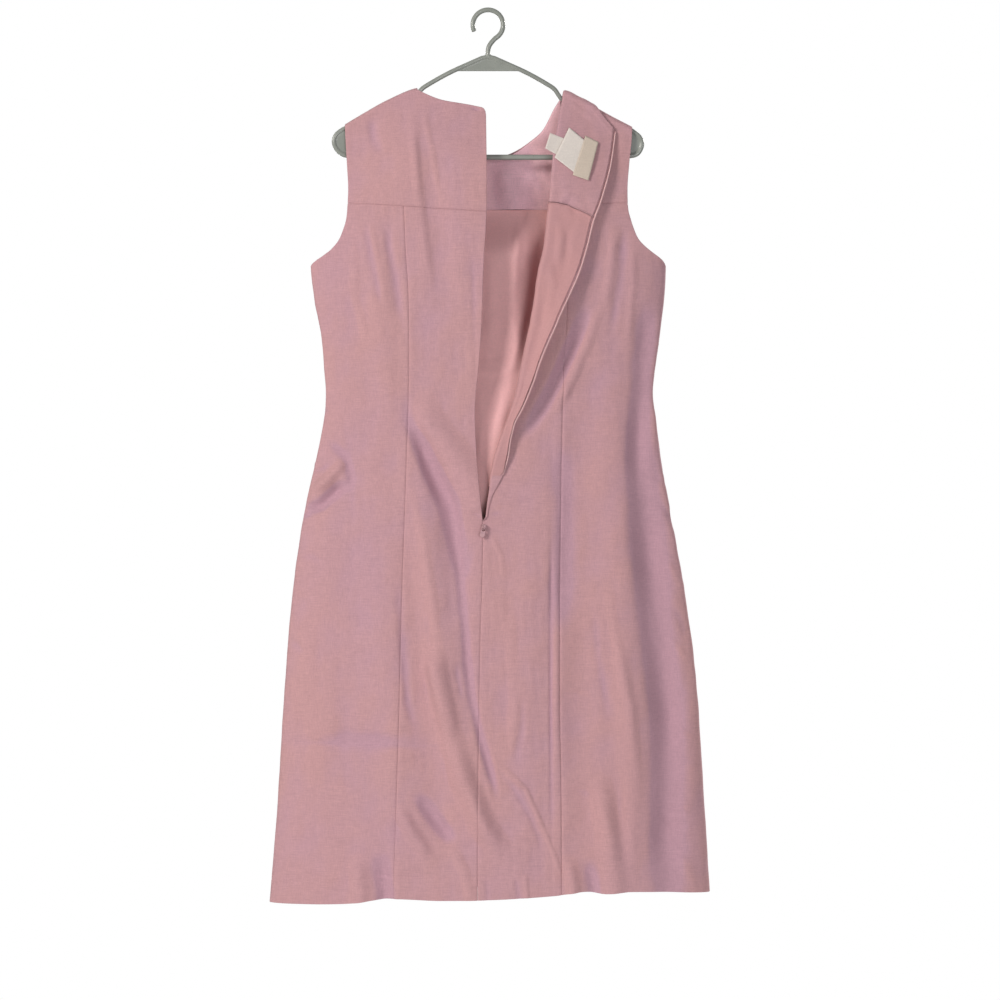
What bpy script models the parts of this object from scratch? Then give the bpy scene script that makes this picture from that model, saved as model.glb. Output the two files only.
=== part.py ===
"""A sleeveless sheath dress hung on a moulded hanger, with its centre-back zip open.

Metres, +Z up. The dress's back faces -Y and its front +Y. X is 0 on the hanger's centre line, and the
origin is the inside of the hook's crown, from which all heights, called levels here, are measured.
Each cloth piece is an open sheet on the wall's middle, given its thickness by Solidify.
"""

import math
from collections import namedtuple

import bmesh
import bpy
from mathutils import Matrix, Vector

# Walls, seams and layers
CLOTH = 0.0012
FACING = 0.0010
SEAM_GAP = 0.0003
LAYER_GAP = 0.0003
FACING_STEP = CLOTH / 2 + LAYER_GAP + FACING / 2
LABEL_THICKNESS = 0.0010
LABEL_STEP = FACING_STEP + FACING / 2 + LAYER_GAP + LABEL_THICKNESS / 2
TAPE_THICKNESS = 0.0012
TAPE_STEP = CLOTH / 2 + 2 * LAYER_GAP + TAPE_THICKNESS / 2
EDGE_COLUMN = 0.02

# Sides, as the names of the section columns that hold their depths
BACK = "back"
FRONT = "front"

# The body below the armholes: half widths to the side seams, and how far back and front bulge
Section = namedtuple("Section", "level left right back front")
SECTIONS = (
    Section(-0.2500, 0.2300, 0.2312, 0.0300, 0.0310),
    Section(-0.3302, 0.2300, 0.2312, 0.0300, 0.0340),
    Section(-0.3744, 0.2249, 0.2288, 0.0305, 0.0350),
    Section(-0.4264, 0.2158, 0.2223, 0.0275, 0.0315),
    Section(-0.4914, 0.2106, 0.2145, 0.0240, 0.0260),
    Section(-0.5304, 0.2132, 0.2184, 0.0245, 0.0255),
    Section(-0.5824, 0.2236, 0.2249, 0.0280, 0.0280),
    Section(-0.6604, 0.2405, 0.2379, 0.0340, 0.0330),
    Section(-0.7644, 0.2548, 0.2561, 0.0390, 0.0380),
    Section(-0.8944, 0.2652, 0.2717, 0.0420, 0.0410),
    Section(-1.0244, 0.2730, 0.2808, 0.0440, 0.0430),
    Section(-1.1544, 0.2834, 0.2886, 0.0460, 0.0450),
)

# Lines on the cloth, each a place across for a level
Point = namedtuple("Point", "level x")
LEFT_PRINCESS = (
    Point(-0.2500, -0.1086), Point(-0.3170, -0.1060), Point(-0.3679, -0.1027), Point(-0.4654, -0.1021),
    Point(-0.5434, -0.1040), Point(-0.6292, -0.1066), Point(-0.7527, -0.1105), Point(-0.9191, -0.1144),
    Point(-1.0426, -0.1183), Point(-1.1544, -0.1216),
)
RIGHT_PRINCESS = (
    Point(-0.2500, 0.1014), Point(-0.3822, 0.1024), Point(-0.5044, 0.0969), Point(-0.6292, 0.0949),
    Point(-0.8775, 0.0923), Point(-1.0023, 0.0942), Point(-1.1544, 0.0949),
)
CENTRE_BACK = (
    Point(-0.1248, -0.0026), Point(-0.2314, -0.0013), Point(-0.2834, -0.0026), Point(-0.3289, -0.0052),
    Point(-0.3744, -0.0068), Point(-0.4329, -0.0094), Point(-0.5005, -0.0156), Point(-0.5226, -0.0167),
    Point(-0.5772, -0.0143), Point(-0.6409, -0.0088), Point(-0.6630, -0.0065), Point(-0.7300, -0.0073),
    Point(-0.8359, -0.0104), Point(-1.0439, -0.0130), Point(-1.1544, -0.0130),
)
FOLD_LINE = (
    Point(-0.1040, 0.0998), Point(-0.1222, 0.0962), Point(-0.1898, 0.0858), Point(-0.2522, 0.0793),
    Point(-0.3081, 0.0735), Point(-0.3484, 0.0645), Point(-0.3822, 0.0600), Point(-0.4420, 0.0481),
    Point(-0.5005, 0.0364), Point(-0.5499, 0.0190), Point(-0.5863, 0.0080), Point(-0.6318, 0.0004),
    Point(-0.6560, -0.0030), Point(-0.6630, -0.0040),
)
ZIP_EDGE = (
    Point(-0.1534, 0.1640), Point(-0.2015, 0.1560), Point(-0.2496, 0.1425), Point(-0.2743, 0.1335),
    Point(-0.3081, 0.1250), Point(-0.3458, 0.1131), Point(-0.3900, 0.0930), Point(-0.4134, 0.0832),
    Point(-0.4537, 0.0670), Point(-0.4823, 0.0572), Point(-0.5161, 0.0442), Point(-0.5369, 0.0340),
    Point(-0.5863, 0.0225), Point(-0.6180, 0.0135), Point(-0.6430, 0.0060), Point(-0.6630, 0.0010),
)
LEFT_ARMHOLE = (
    Point(-0.1463, -0.1859), Point(-0.1664, -0.1850), Point(-0.1924, -0.1834), Point(-0.2314, -0.1810),
    Point(-0.2574, -0.1817), Point(-0.2730, -0.1836), Point(-0.2860, -0.1879), Point(-0.2977, -0.1931),
    Point(-0.3094, -0.2028), Point(-0.3172, -0.2132), Point(-0.3230, -0.2224), Point(-0.3276, -0.2283),
    Point(-0.3302, -0.2300),
)
RIGHT_ARMHOLE = (
    Point(-0.1495, 0.1875), Point(-0.1729, 0.1862), Point(-0.1989, 0.1833), Point(-0.2314, 0.1807),
    Point(-0.2574, 0.1813), Point(-0.2704, 0.1846), Point(-0.2860, 0.1898), Point(-0.2977, 0.1957),
    Point(-0.3094, 0.2080), Point(-0.3172, 0.2190), Point(-0.3230, 0.2265), Point(-0.3276, 0.2302),
    Point(-0.3302, 0.2312),
)

# Lines across the cloth, each a level for a place across
Crest = namedtuple("Crest", "x level")
SHOULDER_CREST = (
    Crest(-0.2400, -0.1790), Crest(-0.1859, -0.1463), Crest(-0.1586, -0.1300), Crest(-0.1313, -0.1148),
    Crest(-0.0923, -0.0988), Crest(-0.0500, -0.0975), Crest(0.0500, -0.1000), Crest(0.0998, -0.1040),
    Crest(0.1352, -0.1215), Crest(0.1625, -0.1365), Crest(0.1875, -0.1495), Crest(0.2400, -0.1790),
)
BACK_NECKLINE = (
    Crest(-0.0923, -0.0988), Crest(-0.0806, -0.1050), Crest(-0.0663, -0.1115), Crest(-0.0533, -0.1155),
    Crest(-0.0180, -0.1215), Crest(-0.0026, -0.1248),
)
FRONT_NECKLINE = (
    Crest(-0.0923, -0.0988), Crest(-0.0870, -0.1110), Crest(-0.0785, -0.1260), Crest(-0.0700, -0.1417),
    Crest(-0.0620, -0.1535), Crest(-0.0500, -0.1650), Crest(-0.0310, -0.1770), Crest(-0.0130, -0.1838),
    Crest(0.0050, -0.1860), Crest(0.0220, -0.1830), Crest(0.0392, -0.1758), Crest(0.0588, -0.1627),
    Crest(0.0706, -0.1522), Crest(0.0772, -0.1417), Crest(0.0850, -0.1260), Crest(0.0942, -0.1116),
    Crest(0.0998, -0.1040),
)
HEM = (
    Crest(-0.2900, -1.1560), Crest(-0.1850, -1.1535), Crest(-0.1300, -1.1465), Crest(-0.0620, -1.1480),
    Crest(0.0000, -1.1470), Crest(0.0850, -1.1420), Crest(0.1250, -1.1370), Crest(0.1500, -1.1400),
    Crest(0.1850, -1.1380), Crest(0.2900, -1.1425),
)
FRONT_HEM_RISE = 0.004

LEFT_TIP = SHOULDER_CREST[1]
LEFT_NECK = SHOULDER_CREST[4]
RIGHT_NECK = SHOULDER_CREST[7]
RIGHT_TIP = SHOULDER_CREST[10]
LEFT_CENTRE_TOP = BACK_NECKLINE[-1]
YOKE_LEVEL = -0.2500
YOKE_HALF_WIDTH = 0.178
LEFT_YOKE_SAG = 0.0125
RIGHT_YOKE_SAG = 0.0020
FRONT_YOKE_SAG = 0.0035
YOKE_BEND_REACH = 0.050
HEM_LEVEL = -1.1500
HEM_BEND_REACH = 0.120
UNDERARM_LEVEL = -0.3302
ZIP_END_LEVEL = -0.6630

# How the cloth rolls over the hanger's arm and opens out below it
CREST_RADIUS = 0.0065
CREST_REACH = 0.130
CREST_GAP = 0.00022
SIDE_SEAM_GAP = 0.00022

# Long soft folds: a line from top to bottom, half the width of the swell, and its height out of the cloth
Swell = namedtuple("Swell", "side top_x top bottom_x bottom half_width height")
SWELLS = (
    Swell(BACK, -0.1500, -0.2500, -0.1300, -0.5600, 0.030, 0.0040),
    Swell(BACK, -0.0800, -0.1350, -0.0540, -0.4000, 0.030, -0.0042),
    Swell(BACK, -0.0860, -0.5000, -0.0280, -0.7900, 0.026, -0.0040),
    Swell(BACK, -0.0960, -0.5700, -0.0330, -1.0100, 0.028, 0.0042),
    Swell(BACK, -0.1080, -0.6400, -0.0540, -1.1300, 0.030, -0.0045),
    Swell(BACK, -0.1400, -0.6700, -0.1120, -1.1400, 0.030, 0.0030),
    Swell(BACK, -0.1800, -0.5600, -0.1830, -1.1300, 0.034, -0.0025),
    Swell(BACK, 0.0600, -0.5600, 0.0420, -1.1500, 0.030, 0.0022),
    Swell(BACK, 0.1180, -0.4200, 0.1200, -1.1600, 0.034, -0.0050),
    Swell(BACK, 0.1580, -0.4000, 0.2000, -1.1600, 0.034, 0.0055),
    Swell(BACK, 0.2060, -0.3900, 0.2500, -1.1500, 0.028, -0.0038),
    Swell(FRONT, -0.0900, -0.2300, -0.0700, -0.6800, 0.034, -0.0050),
    Swell(FRONT, -0.1400, -0.4200, -0.1650, -1.1500, 0.036, 0.0050),
    Swell(FRONT, 0.0150, -0.5200, 0.0000, -1.1700, 0.036, -0.0055),
    Swell(FRONT, 0.0900, -0.4200, 0.1100, -1.1500, 0.032, 0.0050),
    Swell(FRONT, 0.1600, -0.3300, 0.1700, -0.9500, 0.032, -0.0045),
    Swell(FRONT, -0.0550, -0.6200, -0.0750, -1.1700, 0.028, 0.0040),
)

# The turned-out flap beside the zip, by the level of its fold
Flap = namedtuple("Flap", "level roll drop lift")
FLAP = (
    Flap(-0.1040, 0.0013, 0.0500, 0.0000), Flap(-0.1300, 0.0024, 0.0420, 0.0010),
    Flap(-0.1900, 0.0034, 0.0290, 0.0030), Flap(-0.2520, 0.0036, 0.0195, 0.0040),
    Flap(-0.4000, 0.0036, 0.0150, 0.0045), Flap(-0.5200, 0.0032, 0.0100, 0.0030),
    Flap(-0.6000, 0.0022, 0.0040, 0.0010), Flap(-0.6400, 0.0012, 0.0010, 0.0000),
    Flap(-0.6560, 0.0009, 0.0002, 0.0000), Flap(-0.6630, 0.0008, 0.0000, 0.0000),
)
FLAP_DROP_POWER = 1.15
FLAP_LEAST_WIDTH = 0.0015
ROLL_STEPS = 5
FLAP_STEPS = 5
FACING_FIRST_ROLL_STEP = 1

# Row places down a yoke, as shares of the way from its top edge to its seam
YOKE_ROWS = (0.0, 0.008, 0.023, 0.043, 0.068, 0.16, 0.32, 0.49, 0.66, 0.83, 1.0)

# How far the first columns lie from the neck's shoulder corners, where the edge turns over the arm
NECK_CORNER_STEPS = (0.0010, 0.0040, 0.0100)

# Levels of the rows below the yokes, and the extra ones that round the armholes
PANEL_LEVELS = (
    -0.2600, -0.2850, -0.3130, -0.3400, -0.3700, -0.4040, -0.4380, -0.4760, -0.5140, -0.5520, -0.5880,
    -0.6180, -0.6400, -0.6560, -0.6630, -0.6900, -0.7350, -0.7900, -0.8450, -0.9000, -0.9550, -1.0100,
    -1.0600, -1.1050,
)
ARMHOLE_LEVELS = (-0.2730, -0.2960, -0.3050, -0.3200, -0.3260, -0.3302)
UNROLL_REACH = 0.060

# Inside pieces that show through the open back
FRONT_FACING_LEFT = -0.0620
FRONT_FACING_RIGHT = 0.0830
FRONT_LINING_END = -0.6900
FLAP_LINING_END = -0.6300
FLAP_TAPE_END = -0.6450

# Zip tapes
LEFT_TAPE_INSET = 0.0006
LEFT_TAPE_WIDTH = 0.0090
RIGHT_TAPE_WIDTH = 0.0030
TAPE_TOP_INSET = 0.0030

# Labels on the turned-out facing: corners in turn round the label, seen from the back
Corner = namedtuple("Corner", "x level")
BRAND_LABEL = (
    Corner(0.1256, -0.1651), Corner(0.1414, -0.1726), Corner(0.1289, -0.2226), Corner(0.1086, -0.2158),
)
CARE_LABEL = (
    Corner(0.1032, -0.1528), Corner(0.1214, -0.1676), Corner(0.1078, -0.2104), Corner(0.0845, -0.1944),
)
SIZE_TAB = (
    Corner(0.0790, -0.1599), Corner(0.0915, -0.1650), Corner(0.0855, -0.1880), Corner(0.0728, -0.1820),
)
SIZE_TAB_STEP = LABEL_STEP + 0.0002
LABEL_ACROSS = 2
LABEL_DOWN = 5

# Slider and pull tab
SLIDER_X = -0.0050
SLIDER_LEVEL = -0.6690
SLIDER_WIDTH = 0.0066
SLIDER_LENGTH = 0.0080
SLIDER_DEPTH = 0.0022
BRIDGE_WIDTH = 0.0016
BRIDGE_REACH = 0.0038
BRIDGE_BEAM = 0.0010
BRIDGE_END = 0.0011
BRIDGE_ROOT = 0.0010
OUTLINE_TO_SIDE = Matrix(((0, 0, -1, 0), (-1, 0, 0, 0), (0, 1, 0, 0), (0, 0, 0, 1)))
TAB_LENGTH = 0.0140
TAB_WIDTH = 0.0070
TAB_THICKNESS = 0.0012
TAB_BAR = 0.0013
TAB_WINDOW_WIDTH = 0.0038
TAB_WINDOW_LENGTH = 0.0044
TAB_TILT = math.radians(12)
TAB_REST = BRIDGE_BEAM + LAYER_GAP + TAB_THICKNESS / 2

# Hanger
ARM_RADIUS = 0.0030
BAR_SWELL = 1.2
ARM_CONTACT = CLOTH / 2 + 0.0009
BAR_LEVEL = -0.1885
BAR_HALF_LENGTH = 0.1600
APEX_LEVEL = -0.0560
END_X = 0.2005
NOTCH_X = 0.0988
NOTCH_LEVEL = -0.1140
WEB_THICKNESS = 0.0030
GUSSET_LEVEL = -0.0765
GUSSET_HALF_WIDTH = 0.0410
END_WEB_REACH = 0.0330
HOOK_RADIUS = 0.0032
HOOK_INNER_RADIUS = 0.0165
HOOK_POINTS = 15
HOOK_FIRST_ANGLE = math.radians(-62)
HOOK_LAST_ANGLE = math.radians(205)

Finish = namedtuple("Finish", "name colour roughness metallic")
OUTER_FINISH = Finish("pink_cloth", (0.72, 0.42, 0.45, 1.0), 0.80, 0.0)
LINING_FINISH = Finish("pink_lining", (0.74, 0.38, 0.40, 1.0), 0.55, 0.0)
TAPE_FINISH = Finish("pink_tape", (0.78, 0.48, 0.50, 1.0), 0.60, 0.0)
LABEL_FINISH = Finish("label_beige", (0.72, 0.66, 0.58, 1.0), 0.70, 0.0)
WHITE_FINISH = Finish("label_white", (0.84, 0.80, 0.81, 1.0), 0.60, 0.0)
METAL_FINISH = Finish("pink_metal", (0.70, 0.50, 0.50, 1.0), 0.30, 0.8)
PLASTIC_FINISH = Finish("grey_green_plastic", (0.46, 0.52, 0.48, 1.0), 0.35, 0.0)


def clear_scene():
    for thing in list(bpy.data.objects):
        bpy.data.objects.remove(thing, do_unlink=True)


def make_collection(name):
    collection = bpy.data.collections.new(name)
    bpy.context.scene.collection.children.link(collection)
    return collection


def make_material(finish, node_name):
    material = bpy.data.materials.new(finish.name + "_" + node_name)
    material.use_nodes = True
    shader = material.node_tree.nodes["Principled BSDF"]
    shader.inputs["Base Color"].default_value = finish.colour
    shader.inputs["Roughness"].default_value = finish.roughness
    shader.inputs["Metallic"].default_value = finish.metallic
    material.diffuse_color = finish.colour
    return material


# Reading the tables

def read_column(rows, place, place_column, value_column):
    """A smooth cubic through a table's rows, kept level past its ends."""
    places = [getattr(row, place_column) for row in rows]
    values = [getattr(row, value_column) for row in rows]
    if places[0] > places[-1]:
        places.reverse()
        values.reverse()
    if place <= places[0]:
        return values[0]
    if place >= places[-1]:
        return values[-1]
    last = len(places) - 1
    cell = 0
    while places[cell + 1] < place:
        cell += 1
    width = places[cell + 1] - places[cell]
    share = (place - places[cell]) / width
    slope = (values[cell + 1] - values[cell]) / width
    before = slope
    after = slope
    if cell > 0:
        before = (values[cell + 1] - values[cell - 1]) / (places[cell + 1] - places[cell - 1])
    if cell + 2 <= last:
        after = (values[cell + 2] - values[cell]) / (places[cell + 2] - places[cell])
    level_part = mix(values[cell], values[cell + 1], share * share * (3 - 2 * share))
    return level_part + width * (before * share * (1 - share) ** 2 - after * share ** 2 * (1 - share))


def across(line, level):
    return read_column(line, level, "level", "x")


def height(line, x):
    return read_column(line, x, "x", "level")


def section(level, column):
    return read_column(SECTIONS, level, "level", column)


def mix(first, second, share):
    return first + (second - first) * share


def ease(share):
    held = min(1.0, max(0.0, share))
    return held * held * (3 - 2 * held)


# The dress's surface

def half_width(x, level):
    return section(level, "left" if x < 0 else "right")


def swell_height(x, level, side):
    total = 0.0
    for swell in SWELLS:
        if swell.side != side:
            continue
        share = (swell.top - level) / (swell.top - swell.bottom)
        if share <= 0 or share >= 1:
            continue
        centre = mix(swell.top_x, swell.bottom_x, share)
        away = abs(x - centre) / swell.half_width
        if away < 1:
            total += swell.height * math.sin(math.pi * share) ** 0.8 * math.cos(away * math.pi / 2) ** 2
    return total


def body_depth(x, level, side):
    """How far the cloth stands off the middle plane, before it rises to the shoulder."""
    share = min(1.0, abs(x) / half_width(x, level))
    round_out = math.sqrt(max(0.0, 1 - share * share))
    return round_out * (section(level, side) + swell_height(x, level, side))


def drop_of(roll_length):
    """How far below the crest a point is that lies this far from it along the cloth."""
    quarter = CREST_RADIUS * math.pi / 2
    if roll_length < quarter:
        return CREST_RADIUS * (1 - math.cos(roll_length / CREST_RADIUS))
    return CREST_RADIUS + roll_length - quarter


def roll_length_of(drop):
    if drop < CREST_RADIUS:
        return CREST_RADIUS * math.acos(1 - max(0.0, drop) / CREST_RADIUS)
    return CREST_RADIUS * math.pi / 2 + drop - CREST_RADIUS


def surface(x, roll_length, side):
    """The wall's middle at a place across and a length of cloth below the shoulder's crest."""
    drop = drop_of(roll_length)
    crest = height(SHOULDER_CREST, x)
    level = crest - drop
    if drop < CREST_RADIUS:
        depth = math.sqrt(CREST_RADIUS ** 2 - (CREST_RADIUS - drop) ** 2)
    else:
        opened = ease((drop - CREST_RADIUS) / (CREST_REACH - CREST_RADIUS))
        body = body_depth(x, level, side)
        depth = min(CREST_RADIUS, body) * (1 - opened) + body * opened
        if body > CREST_RADIUS:
            depth = mix(CREST_RADIUS, body, opened)
    if side == BACK:
        depth = -depth
    return Vector((x, depth, level))


def length_at(x, level):
    """The length of cloth between the shoulder's crest and a level."""
    return roll_length_of(height(SHOULDER_CREST, x) - level)


def outward(x, roll_length, side):
    """The unit normal that points out of the dress."""
    step = 0.0004
    low = max(roll_length, step)
    along = surface(x, low + step, side) - surface(x, low - step, side)
    sideways = surface(x + step, low, side) - surface(x - step, low, side)
    normal = sideways.cross(along)
    if side == FRONT:
        normal = -normal
    if normal.dot(Vector((0, 0, 1)) * CREST_RADIUS + Vector((0, -1 if side == BACK else 1, 0))) < 0:
        normal = -normal
    return normal.normalized()


def off_surface(x, roll_length, side, step):
    return surface(x, roll_length, side) + outward(x, roll_length, side) * step


def seam_level(x, side):
    """The level of the seam under the yoke."""
    share = max(0.0, 1 - abs(x) / YOKE_HALF_WIDTH)
    if side == FRONT:
        return YOKE_LEVEL - FRONT_YOKE_SAG
    if x < 0:
        return YOKE_LEVEL - LEFT_YOKE_SAG * share
    return YOKE_LEVEL - RIGHT_YOKE_SAG * share


def hem_level(x, side):
    rise = FRONT_HEM_RISE if side == FRONT else 0.0
    return height(HEM, x) + rise


def bent_level(x, level, side):
    """A row's level, drawn towards the yoke seam's and the hem's shapes near them."""
    near_yoke = max(0.0, 1 - (YOKE_LEVEL - level) / YOKE_BEND_REACH)
    near_hem = max(0.0, 1 - (level - HEM_LEVEL) / HEM_BEND_REACH)
    level += near_yoke * (seam_level(x, side) - YOKE_LEVEL)
    return level + near_hem * (hem_level(x, side) - HEM_LEVEL)


def panel_rows(extra=()):
    """Row levels from the yoke seam to the hem, which bend onto both."""
    return sorted((YOKE_LEVEL, HEM_LEVEL) + PANEL_LEVELS + tuple(extra), reverse=True)


def row_point(x, level, side, step=0.0):
    bent = bent_level(x, level, side)
    if level == YOKE_LEVEL:
        bent -= SEAM_GAP / 2
    return off_surface(x, length_at(x, bent), side, step)


# Making the objects

def sheet_mesh(name, rows):
    mesh = bpy.data.meshes.new(name)
    maker = bmesh.new()
    grid = [[maker.verts.new(point) for point in row] for row in rows]
    for upper, lower in zip(grid, grid[1:]):
        for place in range(len(upper) - 1):
            maker.faces.new((upper[place], upper[place + 1], lower[place + 1], lower[place]))
    maker.to_mesh(mesh)
    maker.free()
    mesh.shade_smooth()
    return mesh


def add_sheet(collection, name, rows, thickness, finish):
    """A cloth piece: a sheet on the wall's middle with its thickness on both sides."""
    piece = bpy.data.objects.new(name, sheet_mesh(name, rows))
    collection.objects.link(piece)
    wall = piece.modifiers.new("wall", "SOLIDIFY")
    wall.thickness = thickness
    wall.offset = 0
    piece.data.materials.append(make_material(finish, name))
    return piece


def even(first, last, steps):
    return [mix(first, last, place / steps) for place in range(steps + 1)]


# Yokes

def neckline_length(neckline, x):
    """The length of cloth missing above a neckline."""
    cut_away = height(SHOULDER_CREST, x) - height(neckline, x)
    return max(CREST_GAP, roll_length_of(cut_away))


def left_yoke_rows():
    """From the left armhole to the open centre back, under the shoulder and the back neckline."""
    width = LEFT_CENTRE_TOP.x - LEFT_TIP.x
    neck_share = (LEFT_NECK.x - LEFT_TIP.x) / width
    corner = [neck_share + step / width for step in NECK_CORNER_STEPS]
    shares = even(0, neck_share, 5) + corner + even(corner[-1], 1, 4)[1:]
    rows = []
    for down in YOKE_ROWS:
        arm_x = across(LEFT_ARMHOLE, mix(LEFT_TIP.level, YOKE_LEVEL, down))
        centre_x = across(CENTRE_BACK, mix(LEFT_CENTRE_TOP.level, seam_level(0, BACK), down))
        rows.append([])
        for share in shares:
            x = mix(arm_x, centre_x, share)
            top = CREST_GAP
            if share > neck_share:
                top = neckline_length(BACK_NECKLINE, mix(LEFT_TIP.x, LEFT_CENTRE_TOP.x, share))
            bottom = length_at(x, seam_level(x, BACK) + SEAM_GAP / 2)
            rows[-1].append(surface(x, mix(top, bottom, down), BACK))
    return rows


def front_yoke_rows():
    """From armhole to armhole, under both shoulders and round the front neckline."""
    width = RIGHT_TIP.x - LEFT_TIP.x
    left_neck = (LEFT_NECK.x - LEFT_TIP.x) / width
    right_neck = (RIGHT_NECK.x - LEFT_TIP.x) / width
    left_corner = [left_neck + step / width for step in NECK_CORNER_STEPS]
    right_corner = [right_neck - step / width for step in reversed(NECK_CORNER_STEPS)]
    shares = even(0, left_neck, 4) + left_corner + even(left_corner[-1], right_corner[0], 8)[1:-1]
    shares += right_corner + even(right_neck, 1, 4)
    rows = []
    for down in YOKE_ROWS:
        left_x = across(LEFT_ARMHOLE, mix(LEFT_TIP.level, YOKE_LEVEL, down))
        right_x = across(RIGHT_ARMHOLE, mix(RIGHT_TIP.level, YOKE_LEVEL, down))
        rows.append([])
        for share in shares:
            x = mix(left_x, right_x, share)
            top = CREST_GAP
            if left_neck < share < right_neck:
                top = neckline_length(FRONT_NECKLINE, mix(LEFT_TIP.x, RIGHT_TIP.x, share))
            bottom = length_at(x, seam_level(x, FRONT) + SEAM_GAP / 2)
            rows[-1].append(surface(x, mix(top, bottom, down), FRONT))
    return rows


# The right back with its turned-out flap

FlapRow = namedtuple("FlapRow", "fold_x fold_length fold_level roll drop lift zip_x")


def flap_row(fold_length, fold_level):
    roll = read_column(FLAP, fold_level, "level", "roll")
    drop = read_column(FLAP, fold_level, "level", "drop")
    lift = read_column(FLAP, fold_level, "level", "lift")
    fold_x = across(FOLD_LINE, fold_level) + roll
    zip_x = max(across(ZIP_EDGE, fold_level - drop), fold_x + FLAP_LEAST_WIDTH)
    return FlapRow(fold_x, fold_length, fold_level, roll, drop, lift, zip_x)


def roll_point(row, angle, step):
    """A point round the roll; the step is outwards from the roll's own centre."""
    start = surface(row.fold_x, row.fold_length, BACK)
    normal = outward(row.fold_x, row.fold_length, BACK)
    ahead = surface(row.fold_x - 0.0005, row.fold_length, BACK) - start
    ahead = (ahead - normal * ahead.dot(normal)).normalized()
    reach = row.roll + step
    return start + normal * row.roll - normal * reach * math.cos(angle) + ahead * reach * math.sin(angle)


def flap_point(row, share, step):
    """A point on the turned-out flap, by its share of the way from the fold to the zip edge."""
    x = mix(row.fold_x, row.zip_x, share)
    held = max(0.0, share)
    level = row.fold_level - row.drop * held ** FLAP_DROP_POWER
    length = max(CREST_GAP, length_at(x, level))
    return off_surface(x, length, BACK, 2 * row.roll + row.lift * held ** 2 + step)


def turned_columns(row, step, first_roll_step=0, zip_share=1.0):
    """The points from the roll to the zip edge, at a step outside the panel's middle."""
    points = []
    for place in range(first_roll_step, ROLL_STEPS + 1):
        points.append(roll_point(row, math.pi * place / ROLL_STEPS, step))
    for share in even(0, zip_share, FLAP_STEPS)[1:]:
        points.append(flap_point(row, share, step))
    return points


def yoke_flap_row(down):
    fold_x = across(FOLD_LINE, mix(RIGHT_NECK.level, YOKE_LEVEL, down))
    full = length_at(fold_x, seam_level(fold_x, BACK) + SEAM_GAP / 2)
    fold_length = mix(CREST_GAP, full, down)
    level = height(SHOULDER_CREST, fold_x) - drop_of(fold_length)
    return flap_row(fold_length, level)


def right_yoke_rows():
    rows = []
    for down in YOKE_ROWS:
        turned = yoke_flap_row(down)
        arm_x = across(RIGHT_ARMHOLE, mix(RIGHT_TIP.level, YOKE_LEVEL, down))
        rows.append([])
        for x in even(arm_x, turned.fold_x, 7)[:-1]:
            bottom = length_at(x, seam_level(x, BACK) + SEAM_GAP / 2)
            rows[-1].append(surface(x, mix(CREST_GAP, bottom, down), BACK))
        rows[-1] += turned_columns(turned, 0)
    return rows


def panel_flap_row(level):
    fold_x = across(FOLD_LINE, level)
    bent = bent_level(fold_x, level, BACK)
    if level == YOKE_LEVEL:
        bent -= SEAM_GAP / 2
    return flap_row(length_at(fold_x, bent), bent)


def right_centre_rows():
    """From the right princess seam to the fold and out over the flap, then down the centre-back seam."""
    base_steps = 5
    rows = []
    for level in panel_rows():
        seam_x = across(RIGHT_PRINCESS, level) - SEAM_GAP / 2
        if level > ZIP_END_LEVEL:
            turned = panel_flap_row(level)
            row = [row_point(x, level, BACK) for x in even(seam_x, turned.fold_x, base_steps)[:-1]]
            rows.append(row + turned_columns(turned, 0))
            continue
        centre_x = across(CENTRE_BACK, level) + SEAM_GAP / 2
        steps = base_steps + ROLL_STEPS + FLAP_STEPS
        flat_share = ease((ZIP_END_LEVEL - level) / UNROLL_REACH)
        crowded = even(0, 0.96, base_steps) + even(0.96, 1, ROLL_STEPS + FLAP_STEPS)[1:]
        rows.append([])
        for place in range(steps + 1):
            share = mix(crowded[place], place / steps, flat_share)
            rows[-1].append(row_point(mix(seam_x, centre_x, share), level, BACK))
    return rows


# Plain panels below the yokes

def side_rows(side, sign):
    """From the armhole and side seam to the princess seam."""
    armhole = LEFT_ARMHOLE if sign < 0 else RIGHT_ARMHOLE
    princess = LEFT_PRINCESS if sign < 0 else RIGHT_PRINCESS
    shares = [0, EDGE_COLUMN] + even(0, 1, 6)[1:]
    rows = []
    for level in panel_rows(ARMHOLE_LEVELS):
        widest = half_width(sign, level)
        princess_x = abs(across(princess, level)) + SEAM_GAP / 2
        last_angle = math.acos(min(1.0, princess_x / widest))
        first_angle = SIDE_SEAM_GAP / section(level, side)
        if level > UNDERARM_LEVEL:
            first_angle = max(first_angle, math.acos(min(1.0, abs(across(armhole, level)) / widest)))
        rows.append([])
        for share in shares:
            turn = math.cos(mix(first_angle, last_angle, share))
            bent = bent_level(sign * widest * turn, level, side)
            rows[-1].append(row_point(sign * half_width(sign, bent) * turn, level, side))
    return rows


def left_centre_rows():
    rows = []
    for level in panel_rows():
        seam_x = across(LEFT_PRINCESS, level) + SEAM_GAP / 2
        centre_x = across(CENTRE_BACK, level) - SEAM_GAP / 2
        rows.append([row_point(x, level, BACK) for x in even(seam_x, centre_x, 5)])
    return rows


def front_centre_row(level, step):
    left_x = across(LEFT_PRINCESS, level) + SEAM_GAP / 2
    right_x = across(RIGHT_PRINCESS, level) - SEAM_GAP / 2
    return [row_point(x, level, FRONT, step) for x in even(left_x, right_x, 9)]


def front_centre_rows():
    return [front_centre_row(level, 0) for level in panel_rows()]


# Inside pieces

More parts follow.
